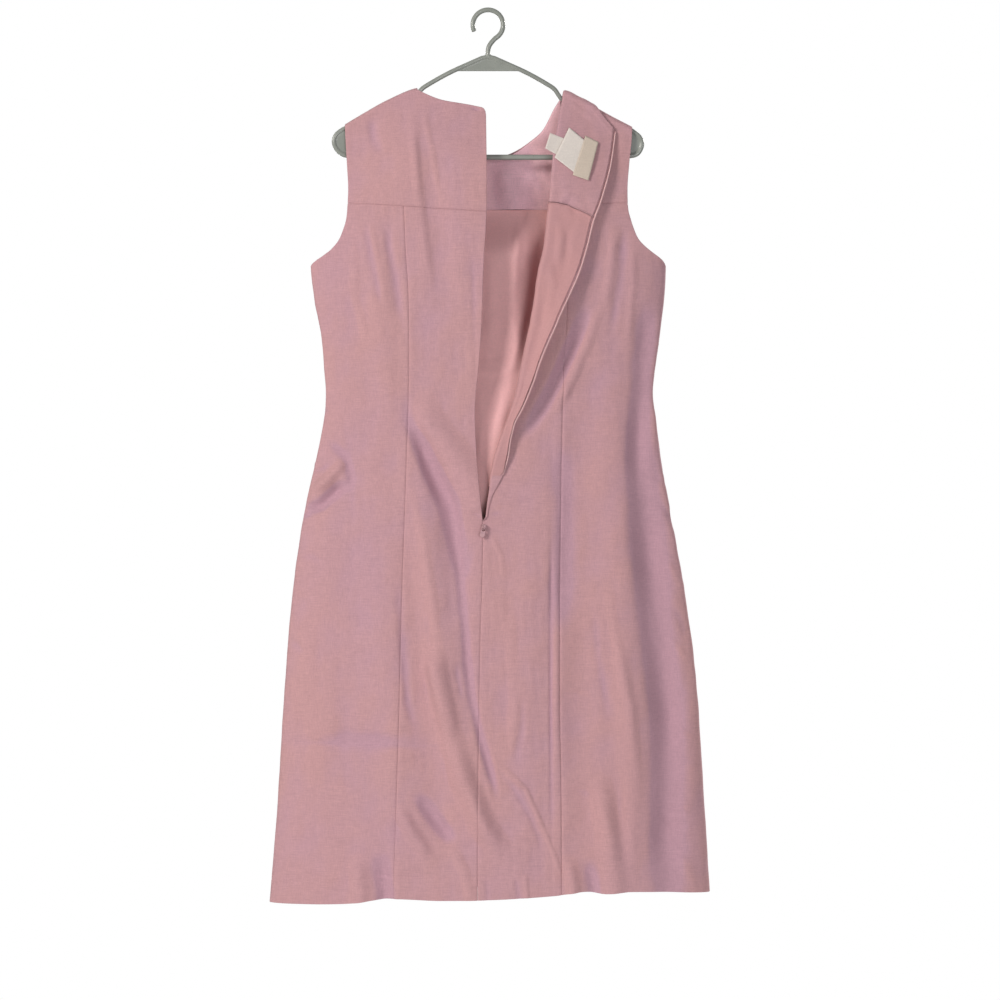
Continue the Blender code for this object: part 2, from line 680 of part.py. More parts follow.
def front_facing_rows():
    """The neckline facing inside the front yoke, where the open back shows it."""
    rows = []
    for down in (0.0, 0.06, 0.14, 0.28, 0.46, 0.64, 0.82, 1.0):
        rows.append([])
        for x in even(FRONT_FACING_LEFT, FRONT_FACING_RIGHT, 10):
            top = roll_length_of(height(SHOULDER_CREST, x) - height(FRONT_NECKLINE, x)) + 0.0015
            bottom = length_at(x, seam_level(x, FRONT) + SEAM_GAP / 2)
            rows[-1].append(off_surface(x, mix(top, bottom, down), FRONT, -FACING_STEP))
    return rows


def front_lining_rows():
    """The front's lining between its princess seams, down to just below the zip's end."""
    return [front_centre_row(level, -FACING_STEP) for level in panel_rows() if level >= FRONT_LINING_END]


def flap_facing_rows():
    """The back facing on the turned-out corner, on the flap's outer side."""
    rows = []
    for down in YOKE_ROWS[2:]:
        rows.append(turned_columns(yoke_flap_row(down), FACING_STEP, FACING_FIRST_ROLL_STEP, 0.985))
    return rows


def flap_lining_rows():
    """The lining on the turned-out flap, down to where the flap is too narrow to carry it."""
    rows = []
    for level in panel_rows():
        if level > FLAP_LINING_END:
            turned = panel_flap_row(level)
            rows.append(turned_columns(turned, FACING_STEP, FACING_FIRST_ROLL_STEP, 0.97))
    return rows


def label_rows(corners, step):
    """A label that follows the flap's facing, between four corners."""
    rows = []
    for down in even(0, 1, LABEL_DOWN):
        left_x = mix(corners[0].x, corners[3].x, down)
        left_level = mix(corners[0].level, corners[3].level, down)
        right_x = mix(corners[1].x, corners[2].x, down)
        right_level = mix(corners[1].level, corners[2].level, down)
        rows.append([])
        for share in even(0, 1, LABEL_ACROSS):
            x = mix(left_x, right_x, share)
            level = mix(left_level, right_level, share)
            rows[-1].append(point_over_flap(x, level, step))
    return rows


def point_over_flap(x, level, step):
    """The point above the turned-out flap at a place across and a level."""
    fold_level = level
    for _ in range(6):
        row = flap_row(0, fold_level)
        share = max(0.0, (x - row.fold_x) / (row.zip_x - row.fold_x))
        fold_level = level + row.drop * share ** FLAP_DROP_POWER
    return off_surface(x, length_at(x, level), BACK, 2 * row.roll + row.lift * share ** 2 + step)


# Zip

def left_tape_rows():
    levels = even(LEFT_CENTRE_TOP.level - TAPE_TOP_INSET, YOKE_LEVEL, 4)[:-1]
    levels += [level for level in PANEL_LEVELS if level > ZIP_END_LEVEL]
    rows = []
    for level in levels + [ZIP_END_LEVEL]:
        edge = across(CENTRE_BACK, level) - LEFT_TAPE_INSET
        rows.append([])
        for x in (edge - LEFT_TAPE_WIDTH, edge - LEFT_TAPE_WIDTH / 2, edge):
            rows[-1].append(off_surface(x, length_at(x, level), BACK, -TAPE_STEP))
    return rows


def right_tape_rows():
    """The tape's edge with its coil, just beyond the flap's cloth."""
    turned = [yoke_flap_row(down) for down in YOKE_ROWS[4:]]
    turned += [panel_flap_row(level) for level in PANEL_LEVELS if level > FLAP_TAPE_END]
    rows = []
    for row in turned:
        width = row.zip_x - row.fold_x
        first = 1 + SEAM_GAP / width
        last = first + RIGHT_TAPE_WIDTH / width
        rows.append([flap_point(row, share, 0) for share in (first, last)])
    return rows


def flat_outline_object(name, splines, thickness, collection):
    """A plate of even thickness from closed outlines in its own XY plane; the second is a hole."""
    outline = bpy.data.curves.new(name, "CURVE")
    outline.dimensions = "2D"
    outline.fill_mode = "BOTH"
    outline.extrude = thickness / 2
    outline.resolution_u = 1
    for points in splines:
        spline = outline.splines.new("POLY")
        spline.points.add(len(points) - 1)
        for place, point in enumerate(points):
            spline.points[place].co = (point[0], point[1], 0, 1)
        spline.use_cyclic_u = True
    carrier = bpy.data.objects.new(name + "_outline", outline)
    collection.objects.link(carrier)
    return solid_from_curve(carrier, name, collection)


def solid_from_curve(carrier, name, collection):
    """The curve's own solid as a mesh with welded caps."""
    bpy.context.view_layer.update()
    view = bpy.context.evaluated_depsgraph_get()
    mesh = bpy.data.meshes.new_from_object(carrier.evaluated_get(view))
    maker = bmesh.new()
    maker.from_mesh(mesh)
    bmesh.ops.remove_doubles(maker, verts=maker.verts, dist=0.00001)
    bmesh.ops.recalc_face_normals(maker, faces=maker.faces)
    maker.to_mesh(mesh)
    maker.free()
    mesh.materials.clear()
    solid = bpy.data.objects.new(name, mesh)
    solid.matrix_world = carrier.matrix_world.copy()
    collection.objects.link(solid)
    bpy.data.objects.remove(carrier, do_unlink=True)
    return solid


def tube_object(name, points, radius, collection, cyclic=False, radii=None, sides=2):
    path = bpy.data.curves.new(name, "CURVE")
    path.dimensions = "3D"
    path.bevel_depth = radius
    path.bevel_resolution = sides
    path.use_fill_caps = True
    spline = path.splines.new("POLY")
    spline.points.add(len(points) - 1)
    for place, point in enumerate(points):
        spline.points[place].co = (point[0], point[1], point[2], 1)
        if radii:
            spline.points[place].radius = radii[place]
    spline.use_cyclic_u = cyclic
    carrier = bpy.data.objects.new(name + "_path", path)
    collection.objects.link(carrier)
    return solid_from_curve(carrier, name, collection)


def box_object(name, size, centre, collection):
    mesh = bpy.data.meshes.new(name)
    maker = bmesh.new()
    bmesh.ops.create_cube(maker, size=1)
    bmesh.ops.scale(maker, vec=size, verts=maker.verts)
    maker.to_mesh(mesh)
    maker.free()
    box = bpy.data.objects.new(name, mesh)
    box.location = centre
    collection.objects.link(box)
    return box


def join_into(base, extras):
    for extra in extras:
        union = base.modifiers.new("join_" + extra.name, "BOOLEAN")
        union.operation = "UNION"
        union.object = extra
        extra.hide_render = True
        extra.display_type = "WIRE"


def finish_piece(piece, finish):
    piece.data.materials.clear()
    piece.data.materials.append(make_material(finish, piece.name))


def slider_face():
    """The slider's front face: its distance behind the middle plane."""
    cloth = surface(SLIDER_X, length_at(SLIDER_X, SLIDER_LEVEL), BACK)
    return cloth.y - CLOTH / 2 - 3 * LAYER_GAP - SLIDER_DEPTH


def build_slider(parts, helpers):
    face = slider_face()
    body = box_object(
        "zip_slider", (SLIDER_WIDTH, SLIDER_DEPTH, SLIDER_LENGTH),
        (SLIDER_X, face + SLIDER_DEPTH / 2, SLIDER_LEVEL), parts,
    )
    half = SLIDER_LENGTH / 2 - 0.0006
    frame = [(-BRIDGE_ROOT, -half), (BRIDGE_REACH, -half), (BRIDGE_REACH, half), (-BRIDGE_ROOT, half)]
    inner = half - BRIDGE_END
    window_reach = BRIDGE_REACH - BRIDGE_BEAM
    window_root = -BRIDGE_ROOT / 2
    window = [(window_root, -inner), (window_reach, -inner), (window_reach, inner), (window_root, inner)]
    bridge = flat_outline_object("bridge", [frame, window], BRIDGE_WIDTH, helpers)
    bridge.data.transform(OUTLINE_TO_SIDE)
    bridge.location = (SLIDER_X, face, SLIDER_LEVEL)
    join_into(body, [bridge])
    finish_piece(body, METAL_FINISH)
    return body


def teardrop(length, width, bar):
    """The pull tab's outline, hanging down from its bar at the origin."""
    top = bar / 2
    tip_radius = width * 0.5
    points = [(-width * 0.36, top), (width * 0.36, top)]
    centre = -(length - bar / 2 - tip_radius)
    for step in range(9):
        angle = math.radians(10 - step * 25)
        points.append((tip_radius * math.cos(angle), centre + tip_radius * math.sin(angle)))
    return points


def build_pull_tab(parts):
    half = TAB_WINDOW_WIDTH / 2
    window_top = -TAB_BAR / 2
    window_end = window_top - TAB_WINDOW_LENGTH
    window = [
        (-half, window_top), (half, window_top), (half, window_end + half / 2),
        (half / 2, window_end), (-half / 2, window_end), (-half, window_end + half / 2),
    ]
    outline = teardrop(TAB_LENGTH, TAB_WIDTH, TAB_BAR)
    tab = flat_outline_object("zip_pull_tab", [outline, window], TAB_THICKNESS, parts)
    tab.data.transform(Matrix.Rotation(math.radians(90), 4, "X"))
    tab.location = (SLIDER_X, slider_face() - BRIDGE_REACH + TAB_REST, SLIDER_LEVEL)
    tab.rotation_euler = (0, TAB_TILT, 0)
    finish_piece(tab, METAL_FINISH)
    return tab


# Hanger

def arm_level(x):
    """The hanger arm's centre line under the shoulder's crest."""
    return height(SHOULDER_CREST, x) - ARM_CONTACT - ARM_RADIUS


def arm_points(sign):
    """One arm from the apex out to its rounded end and in to the bar, seen from the back."""
    tip_x = abs(RIGHT_TIP.x if sign > 0 else LEFT_TIP.x)
    before = NOTCH_LEVEL + 0.0175
    points = [
        (0.0220, mix(APEX_LEVEL, before, 0.24)), (0.0520, mix(APEX_LEVEL, before, 0.57)),
        (NOTCH_X - 0.0165, before), (NOTCH_X - 0.0110, before - 0.0048),
        (NOTCH_X - 0.0070, NOTCH_LEVEL + 0.0060), (NOTCH_X - 0.0035, NOTCH_LEVEL + 0.0012),
        (NOTCH_X, NOTCH_LEVEL), (NOTCH_X + 0.0060, NOTCH_LEVEL - 0.0008),
    ]
    for share in (0.22, 0.38, 0.54, 0.72, 0.88, 1.0):
        x = mix(NOTCH_X, tip_x, share)
        points.append((x, arm_level(sign * x)))
    tip_level = arm_level(sign * tip_x)
    points += [
        (END_X - 0.0090, tip_level - 0.0032), (END_X - 0.0035, tip_level - 0.0075),
        (END_X, tip_level - 0.0140), (END_X - 0.0006, tip_level - 0.0220),
        (END_X - 0.0060, tip_level - 0.0310), (END_X - 0.0160, BAR_LEVEL + 0.0012),
    ]
    return [(sign * x, level) for x, level in points]


def end_web_outline(sign):
    """The thin plate inside a rounded shoulder end."""
    rim = arm_points(sign)[13:]
    inner = abs(rim[0][0]) - END_WEB_REACH
    return rim + [(sign * inner, BAR_LEVEL)]


def hook_points():
    radius = HOOK_INNER_RADIUS + HOOK_RADIUS
    centre = -HOOK_INNER_RADIUS
    points = [(0.0, 0.0, APEX_LEVEL), (0.0, 0.0, -0.0480), (0.0025, 0.0, -0.0415)]
    for angle in even(HOOK_FIRST_ANGLE, HOOK_LAST_ANGLE, HOOK_POINTS):
        points.append((radius * math.cos(angle), 0.0, centre + radius * math.sin(angle)))
    return points


def build_hanger(parts, helpers):
    """One moulded piece: rim, bar, gusset, end webs and hook."""
    right = arm_points(1)
    left = arm_points(-1)
    bar = [(x, BAR_LEVEL) for x in even(BAR_HALF_LENGTH, -BAR_HALF_LENGTH, 8)]
    rim = [(0.0, APEX_LEVEL)] + right + bar + list(reversed(left))
    swells = [1.0] * (1 + len(right)) + [BAR_SWELL] * len(bar) + [1.0] * len(left)
    loop = [(x, 0.0, level) for x, level in rim]
    hanger = tube_object("hanger", loop, ARM_RADIUS, parts, cyclic=True, radii=swells)
    upright = Matrix.Rotation(math.radians(90), 4, "X")
    gusset = [(0.0, APEX_LEVEL), (GUSSET_HALF_WIDTH, GUSSET_LEVEL), (-GUSSET_HALF_WIDTH, GUSSET_LEVEL)]
    extras = [flat_outline_object("gusset", [gusset], WEB_THICKNESS, helpers)]
    for sign, name in ((1, "right_end_web"), (-1, "left_end_web")):
        extras.append(flat_outline_object(name, [end_web_outline(sign)], WEB_THICKNESS, helpers))
    for web in extras:
        web.data.transform(upright)
    extras.append(tube_object("hook", hook_points(), HOOK_RADIUS, helpers))
    join_into(hanger, extras)
    finish_piece(hanger, PLASTIC_FINISH)
    return hanger


def build():
    clear_scene()
    parts = make_collection("sheath_dress_on_hanger")
    helpers = make_collection("joining_shapes")
    add_sheet(parts, "back_yoke_left", left_yoke_rows(), CLOTH, OUTER_FINISH)
    add_sheet(parts, "back_yoke_right", right_yoke_rows(), CLOTH, OUTER_FINISH)
    add_sheet(parts, "front_yoke", front_yoke_rows(), CLOTH, OUTER_FINISH)
    add_sheet(parts, "back_centre_left", left_centre_rows(), CLOTH, OUTER_FINISH)
    add_sheet(parts, "back_centre_right", right_centre_rows(), CLOTH, OUTER_FINISH)
    add_sheet(parts, "front_centre", front_centre_rows(), CLOTH, OUTER_FINISH)
    for side in (BACK, FRONT):
        add_sheet(parts, side + "_side_left", side_rows(side, -1), CLOTH, OUTER_FINISH)
        add_sheet(parts, side + "_side_right", side_rows(side, 1), CLOTH, OUTER_FINISH)
    add_sheet(parts, "front_facing", front_facing_rows(), FACING, OUTER_FINISH)
    add_sheet(parts, "front_lining", front_lining_rows(), FACING, LINING_FINISH)
    add_sheet(parts, "back_facing_right", flap_facing_rows(), FACING, OUTER_FINISH)
    add_sheet(parts, "back_lining_right", flap_lining_rows(), FACING, LINING_FINISH)
    add_sheet(parts, "label_brand", label_rows(BRAND_LABEL, LABEL_STEP), LABEL_THICKNESS, LABEL_FINISH)
    add_sheet(parts, "label_care", label_rows(CARE_LABEL, LABEL_STEP), LABEL_THICKNESS, WHITE_FINISH)
    add_sheet(parts, "label_size", label_rows(SIZE_TAB, SIZE_TAB_STEP), LABEL_THICKNESS, WHITE_FINISH)
    add_sheet(parts, "zip_tape_left", left_tape_rows(), TAPE_THICKNESS, TAPE_FINISH)
    add_sheet(parts, "zip_tape_right", right_tape_rows(), TAPE_THICKNESS, TAPE_FINISH)
    build_slider(parts, helpers)
    build_pull_tab(parts)
    build_hanger(parts, helpers)


build()
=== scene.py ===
import math

import bpy
import numpy as np
from mathutils import Matrix, Vector


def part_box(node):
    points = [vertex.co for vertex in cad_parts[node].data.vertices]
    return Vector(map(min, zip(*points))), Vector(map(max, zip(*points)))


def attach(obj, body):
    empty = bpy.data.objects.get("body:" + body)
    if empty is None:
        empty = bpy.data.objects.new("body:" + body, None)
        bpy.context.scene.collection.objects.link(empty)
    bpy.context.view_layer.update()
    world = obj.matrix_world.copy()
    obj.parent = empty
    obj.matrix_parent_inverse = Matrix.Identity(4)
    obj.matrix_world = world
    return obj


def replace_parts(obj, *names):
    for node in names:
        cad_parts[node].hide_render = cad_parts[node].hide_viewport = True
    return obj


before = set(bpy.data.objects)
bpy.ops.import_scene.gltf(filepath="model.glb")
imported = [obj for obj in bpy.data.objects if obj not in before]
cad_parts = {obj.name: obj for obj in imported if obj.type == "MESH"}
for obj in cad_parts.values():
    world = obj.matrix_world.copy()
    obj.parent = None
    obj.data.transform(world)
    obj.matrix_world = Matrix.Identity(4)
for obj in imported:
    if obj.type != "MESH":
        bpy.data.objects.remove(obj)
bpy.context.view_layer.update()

# Metres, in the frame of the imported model: the dress's back faces -Y, X is 0 on the hanger's centre line,
# and levels are heights below the inside of the hook's crown. Every cloth piece is a closed thin shell on a
# grid of middle points, which follows the surface of the solid that it stands for.

MM = 0.001
WALL = 0.0009
LINING_WALL = 0.0005
CLOTH = 0.0012
SEAM_GAP = 0.0003
FACING_STEP = 0.0014
PITCH = 0.0031
YOKE_PITCH = 0.0026
NORMAL_STEP = 0.0004
CREST_RADIUS = 0.0065
CREST_REACH = 0.130
CREST_GAP = 0.00022
YOKE_LEVEL = -0.2500
HEM_LEVEL = -1.1500
PANEL_LENGTH = 0.9000
# Widths for the spacing of the grids' lines
YOKE_DEPTH, BACK_CENTRE_WIDTH, FRONT_CENTRE_WIDTH = 0.105, 0.105, 0.205
HEM_DEPTH = 0.0300
UNDERARM_LEVEL = -0.3302
ZIP_END_LEVEL = -0.6630
LINING_END = -0.6900
FLAP_LINING_END = -0.6180
FACING_LEFT, FACING_RIGHT = -0.0620, 0.0945
BACK, FRONT = 0, 1

# How far the yoke's seam sags: towards the middle on the back, all along on the front
YOKE_HALF_WIDTH = 0.178
LEFT_YOKE_SAG, RIGHT_YOKE_SAG, FRONT_YOKE_SAG = 0.0125, 0.0020, 0.0035
# How far from the yoke's seam and from the hem the rows follow their shapes
YOKE_BEND_REACH, HEM_BEND_REACH = 0.050, 0.120
FRONT_HEM_RISE = 0.004

# Relief at edges: a turned edge's added thickness, width and fade, and the fade of the hem's own
TURNED, TURNED_WIDTH, TURNED_FADE, HEM_FADE = 0.0007, 0.009, 0.002, 0.0015
# A seam's groove, and the rise over its allowance: where it starts, how far it reaches and its fade
SEAM_DEPTH, SEAM_SPREAD = 0.00055, 0.0011
ALLOWANCE_RISE, ALLOWANCE_START, SEAM_ALLOWANCE, ALLOWANCE_FADE = 0.00022, 0.0022, 0.0085, 0.0035
STITCH_DEPTH, STITCH_SPREAD = 0.00026, 0.0013
# How far an edge rounds over, and the least share of the wall that is left at its end, squared
EDGE_ROUND, LEAST_FULL = 0.0009, 0.08
# Where the relief starts below the shoulder's crest, and how soon it is whole
CALM_DROP, CALM_FADE = 0.006, 0.020

# The share of a crease's length over which it fades at each end, how much its height wanders and over
# what length, and the grain's wavelengths
CREASE_FADE, WANDER, WANDER_LENGTH = 0.3, 0.22, 0.031
GRAIN_PERIODS = (0.085, 0.052, 0.034, 0.022, 0.014)

# A wave texture of this scale has one band a metre
WAVE_SCALE = 0.31416
CAMERA_DISTANCE, PICTURE_WIDTH = 3.2, 1.3


def rows_of(text):
    return np.array([[float(word) for word in line.split()] for line in text.strip().splitlines()])


# Level, half widths to the left and right side seams, and how far back and front stand off the middle
SECTIONS = rows_of("""
-0.2500 0.2300 0.2312 0.0300 0.0310
-0.3302 0.2300 0.2312 0.0300 0.0340
-0.3744 0.2249 0.2288 0.0305 0.0350
-0.4264 0.2158 0.2223 0.0275 0.0315
-0.4914 0.2106 0.2145 0.0240 0.0260
-0.5304 0.2132 0.2184 0.0245 0.0255
-0.5824 0.2236 0.2249 0.0280 0.0280
-0.6604 0.2405 0.2379 0.0340 0.0330
-0.7644 0.2548 0.2561 0.0390 0.0380
-0.8944 0.2652 0.2717 0.0420 0.0410
-1.0244 0.2730 0.2808 0.0440 0.0430
-1.1544 0.2834 0.2886 0.0460 0.0450
""")

# Lines down the cloth: level, then place across
LEFT_PRINCESS = rows_of("""
-0.2500 -0.1086
-0.3170 -0.1060
-0.3679 -0.1027
-0.4654 -0.1021
-0.5434 -0.1040
-0.6292 -0.1066
-0.7527 -0.1105
-0.9191 -0.1144
-1.0426 -0.1183
-1.1544 -0.1216
""")
RIGHT_PRINCESS = rows_of("""
-0.2500 0.1014
-0.3822 0.1024
-0.5044 0.0969
-0.6292 0.0949
-0.8775 0.0923
-1.0023 0.0942
-1.1544 0.0949
""")
CENTRE_BACK = rows_of("""
-0.1248 -0.0026
-0.2314 -0.0013
-0.2834 -0.0026
-0.3289 -0.0052
-0.3744 -0.0068
-0.4329 -0.0094
-0.5005 -0.0156
-0.5226 -0.0167
-0.5772 -0.0143
-0.6409 -0.0088
-0.6630 -0.0065
-0.7300 -0.0073
-0.8359 -0.0104
-1.0439 -0.0130
-1.1544 -0.0130
""")
FOLD_LINE = rows_of("""
-0.1040 0.0998
-0.1222 0.0962
-0.1898 0.0858
-0.2522 0.0793
-0.3081 0.0735
-0.3484 0.0645
-0.3822 0.0600
-0.4420 0.0481
-0.5005 0.0364
-0.5499 0.0190
-0.5863 0.0080
-0.6318 0.0004
-0.6560 -0.0026
-0.6630 -0.0034
""")
ZIP_EDGE = rows_of("""
-0.1534 0.1640
-0.2015 0.1560
-0.2496 0.1425
-0.2743 0.1335
-0.3081 0.1250
-0.3458 0.1131
-0.3900 0.0930
-0.4134 0.0832
-0.4537 0.0670
-0.4823 0.0572
-0.5161 0.0442
-0.5369 0.0340
-0.5863 0.0225
-0.6020 0.0190
-0.6160 0.0118
-0.6300 0.0048
-0.6430 0.0012
-0.6630 -0.0030
""")
LEFT_ARMHOLE = rows_of("""
-0.1463 -0.1859
-0.1664 -0.1850
-0.1924 -0.1834
-0.2314 -0.1810
-0.2574 -0.1817
-0.2730 -0.1836
-0.2860 -0.1879
-0.2977 -0.1931
-0.3094 -0.2028
-0.3172 -0.2132
-0.3230 -0.2224
-0.3276 -0.2283
-0.3302 -0.2300
""")
RIGHT_ARMHOLE = rows_of("""
-0.1495 0.1875
-0.1729 0.1862
-0.1989 0.1833
-0.2314 0.1807
-0.2574 0.1813
-0.2704 0.1846
-0.2860 0.1898
-0.2977 0.1957
-0.3094 0.2080
-0.3172 0.2190
-0.3230 0.2265
-0.3276 0.2302
-0.3302 0.2312
""")

# Lines across the cloth: place across, then level
SHOULDER_CREST = rows_of("""
-0.2400 -0.1790
-0.1859 -0.1463
-0.1586 -0.1300
-0.1313 -0.1148
-0.0923 -0.0988
-0.0500 -0.0975
0.0500 -0.1000
0.0998 -0.1040
0.1352 -0.1215
0.1625 -0.1365
0.1875 -0.1495
0.2400 -0.1790
""")
BACK_NECKLINE = rows_of("""
-0.0923 -0.0988
-0.0806 -0.1050
-0.0663 -0.1115
-0.0533 -0.1155
-0.0180 -0.1215
-0.0026 -0.1248
""")
FRONT_NECKLINE = rows_of("""
-0.0923 -0.0988
-0.0870 -0.1110
-0.0785 -0.1260
-0.0700 -0.1417
-0.0620 -0.1535
-0.0500 -0.1650
-0.0310 -0.1770
-0.0130 -0.1838
0.0050 -0.1860
0.0220 -0.1830
0.0392 -0.1758
0.0588 -0.1627
0.0706 -0.1522
0.0772 -0.1417
0.0850 -0.1260
0.0942 -0.1116
0.0998 -0.1040
""")
HEM = rows_of("""
-0.2900 -1.1560
-0.1850 -1.1535
-0.1300 -1.1465
-0.0620 -1.1480
0.0000 -1.1470
0.0850 -1.1420
0.1250 -1.1370
0.1500 -1.1400
0.1850 -1.1380
0.2900 -1.1425
""")
LEFT_TIP, LEFT_NECK, RIGHT_NECK, RIGHT_TIP = (SHOULDER_CREST[i] for i in (1, 4, 7, 10))

# Long swells of the solids: side, top x, top, bottom x, bottom, half width, height
SWELLS = rows_of("""
0 -0.1500 -0.2500 -0.1300 -0.5600 0.030 0.0040
0 -0.0800 -0.1350 -0.0540 -0.4000 0.030 -0.0042
0 -0.0860 -0.5000 -0.0280 -0.7900 0.026 -0.0040
0 -0.0960 -0.5700 -0.0330 -1.0100 0.028 0.0042
0 -0.1080 -0.6400 -0.0540 -1.1300 0.030 -0.0045
0 -0.1400 -0.6700 -0.1120 -1.1400 0.030 0.0030
0 -0.1800 -0.5600 -0.1830 -1.1300 0.034 -0.0025
0 0.0600 -0.5600 0.0420 -1.1500 0.030 0.0022
0 0.1180 -0.4200 0.1200 -1.1600 0.034 -0.0050
0 0.1580 -0.4000 0.2000 -1.1600 0.034 0.0055
0 0.2060 -0.3900 0.2500 -1.1500 0.028 -0.0038
1 -0.0900 -0.2300 -0.0700 -0.6800 0.034 -0.0050
1 -0.1400 -0.4200 -0.1650 -1.1500 0.036 0.0050
1 0.0150 -0.5200 0.0000 -1.1700 0.036 -0.0055
1 0.0900 -0.4200 0.1100 -1.1500 0.032 0.0050
1 0.1600 -0.3300 0.1700 -0.9500 0.032 -0.0045
1 -0.0550 -0.6200 -0.0750 -1.1700 0.028 0.0040
""")

# The turned-out flap by the level of its fold: level, roll radius, drop and lift towards the zip edge
FLAP = rows_of("""
-0.1040 0.0012 0.0500 0.0000
-0.1300 0.0018 0.0420 0.0005
-0.1900 0.0024 0.0290 0.0015
-0.2520 0.0028 0.0195 0.0020
-0.3300 0.0032 0.0165 0.0045
-0.4000 0.0036 0.0150 0.0075
-0.4700 0.0036 0.0120 0.0070
-0.5200 0.0032 0.0100 0.0035
-0.5700 0.0025 0.0060 -0.0006
-0.5900 0.0018 0.0035 -0.0014
-0.6100 0.0012 0.0018 -0.0010
-0.6250 0.0009 0.0008 -0.0005
-0.6400 0.0008 0.0003 -0.0003
-0.6630 0.0008 0.0000 0.0000
""")
FLAP_DROP_POWER = 1.6
FLAP_LEAST_WIDTH = 0.0008

# How far the slack lining comes away from the front, and how far past the fold line it does, by level
BELLY = rows_of("""
-0.2500 0.028 0.014
-0.3200 0.030 0.012
-0.3900 0.027 0.020
-0.4400 0.024 0.044
-0.5000 0.025 0.060
-0.5700 0.034 0.070
-0.6150 0.048 0.070
-0.6400 0.047 0.070
-0.6600 0.030 0.070
-0.6900 0.000 0.070
""")

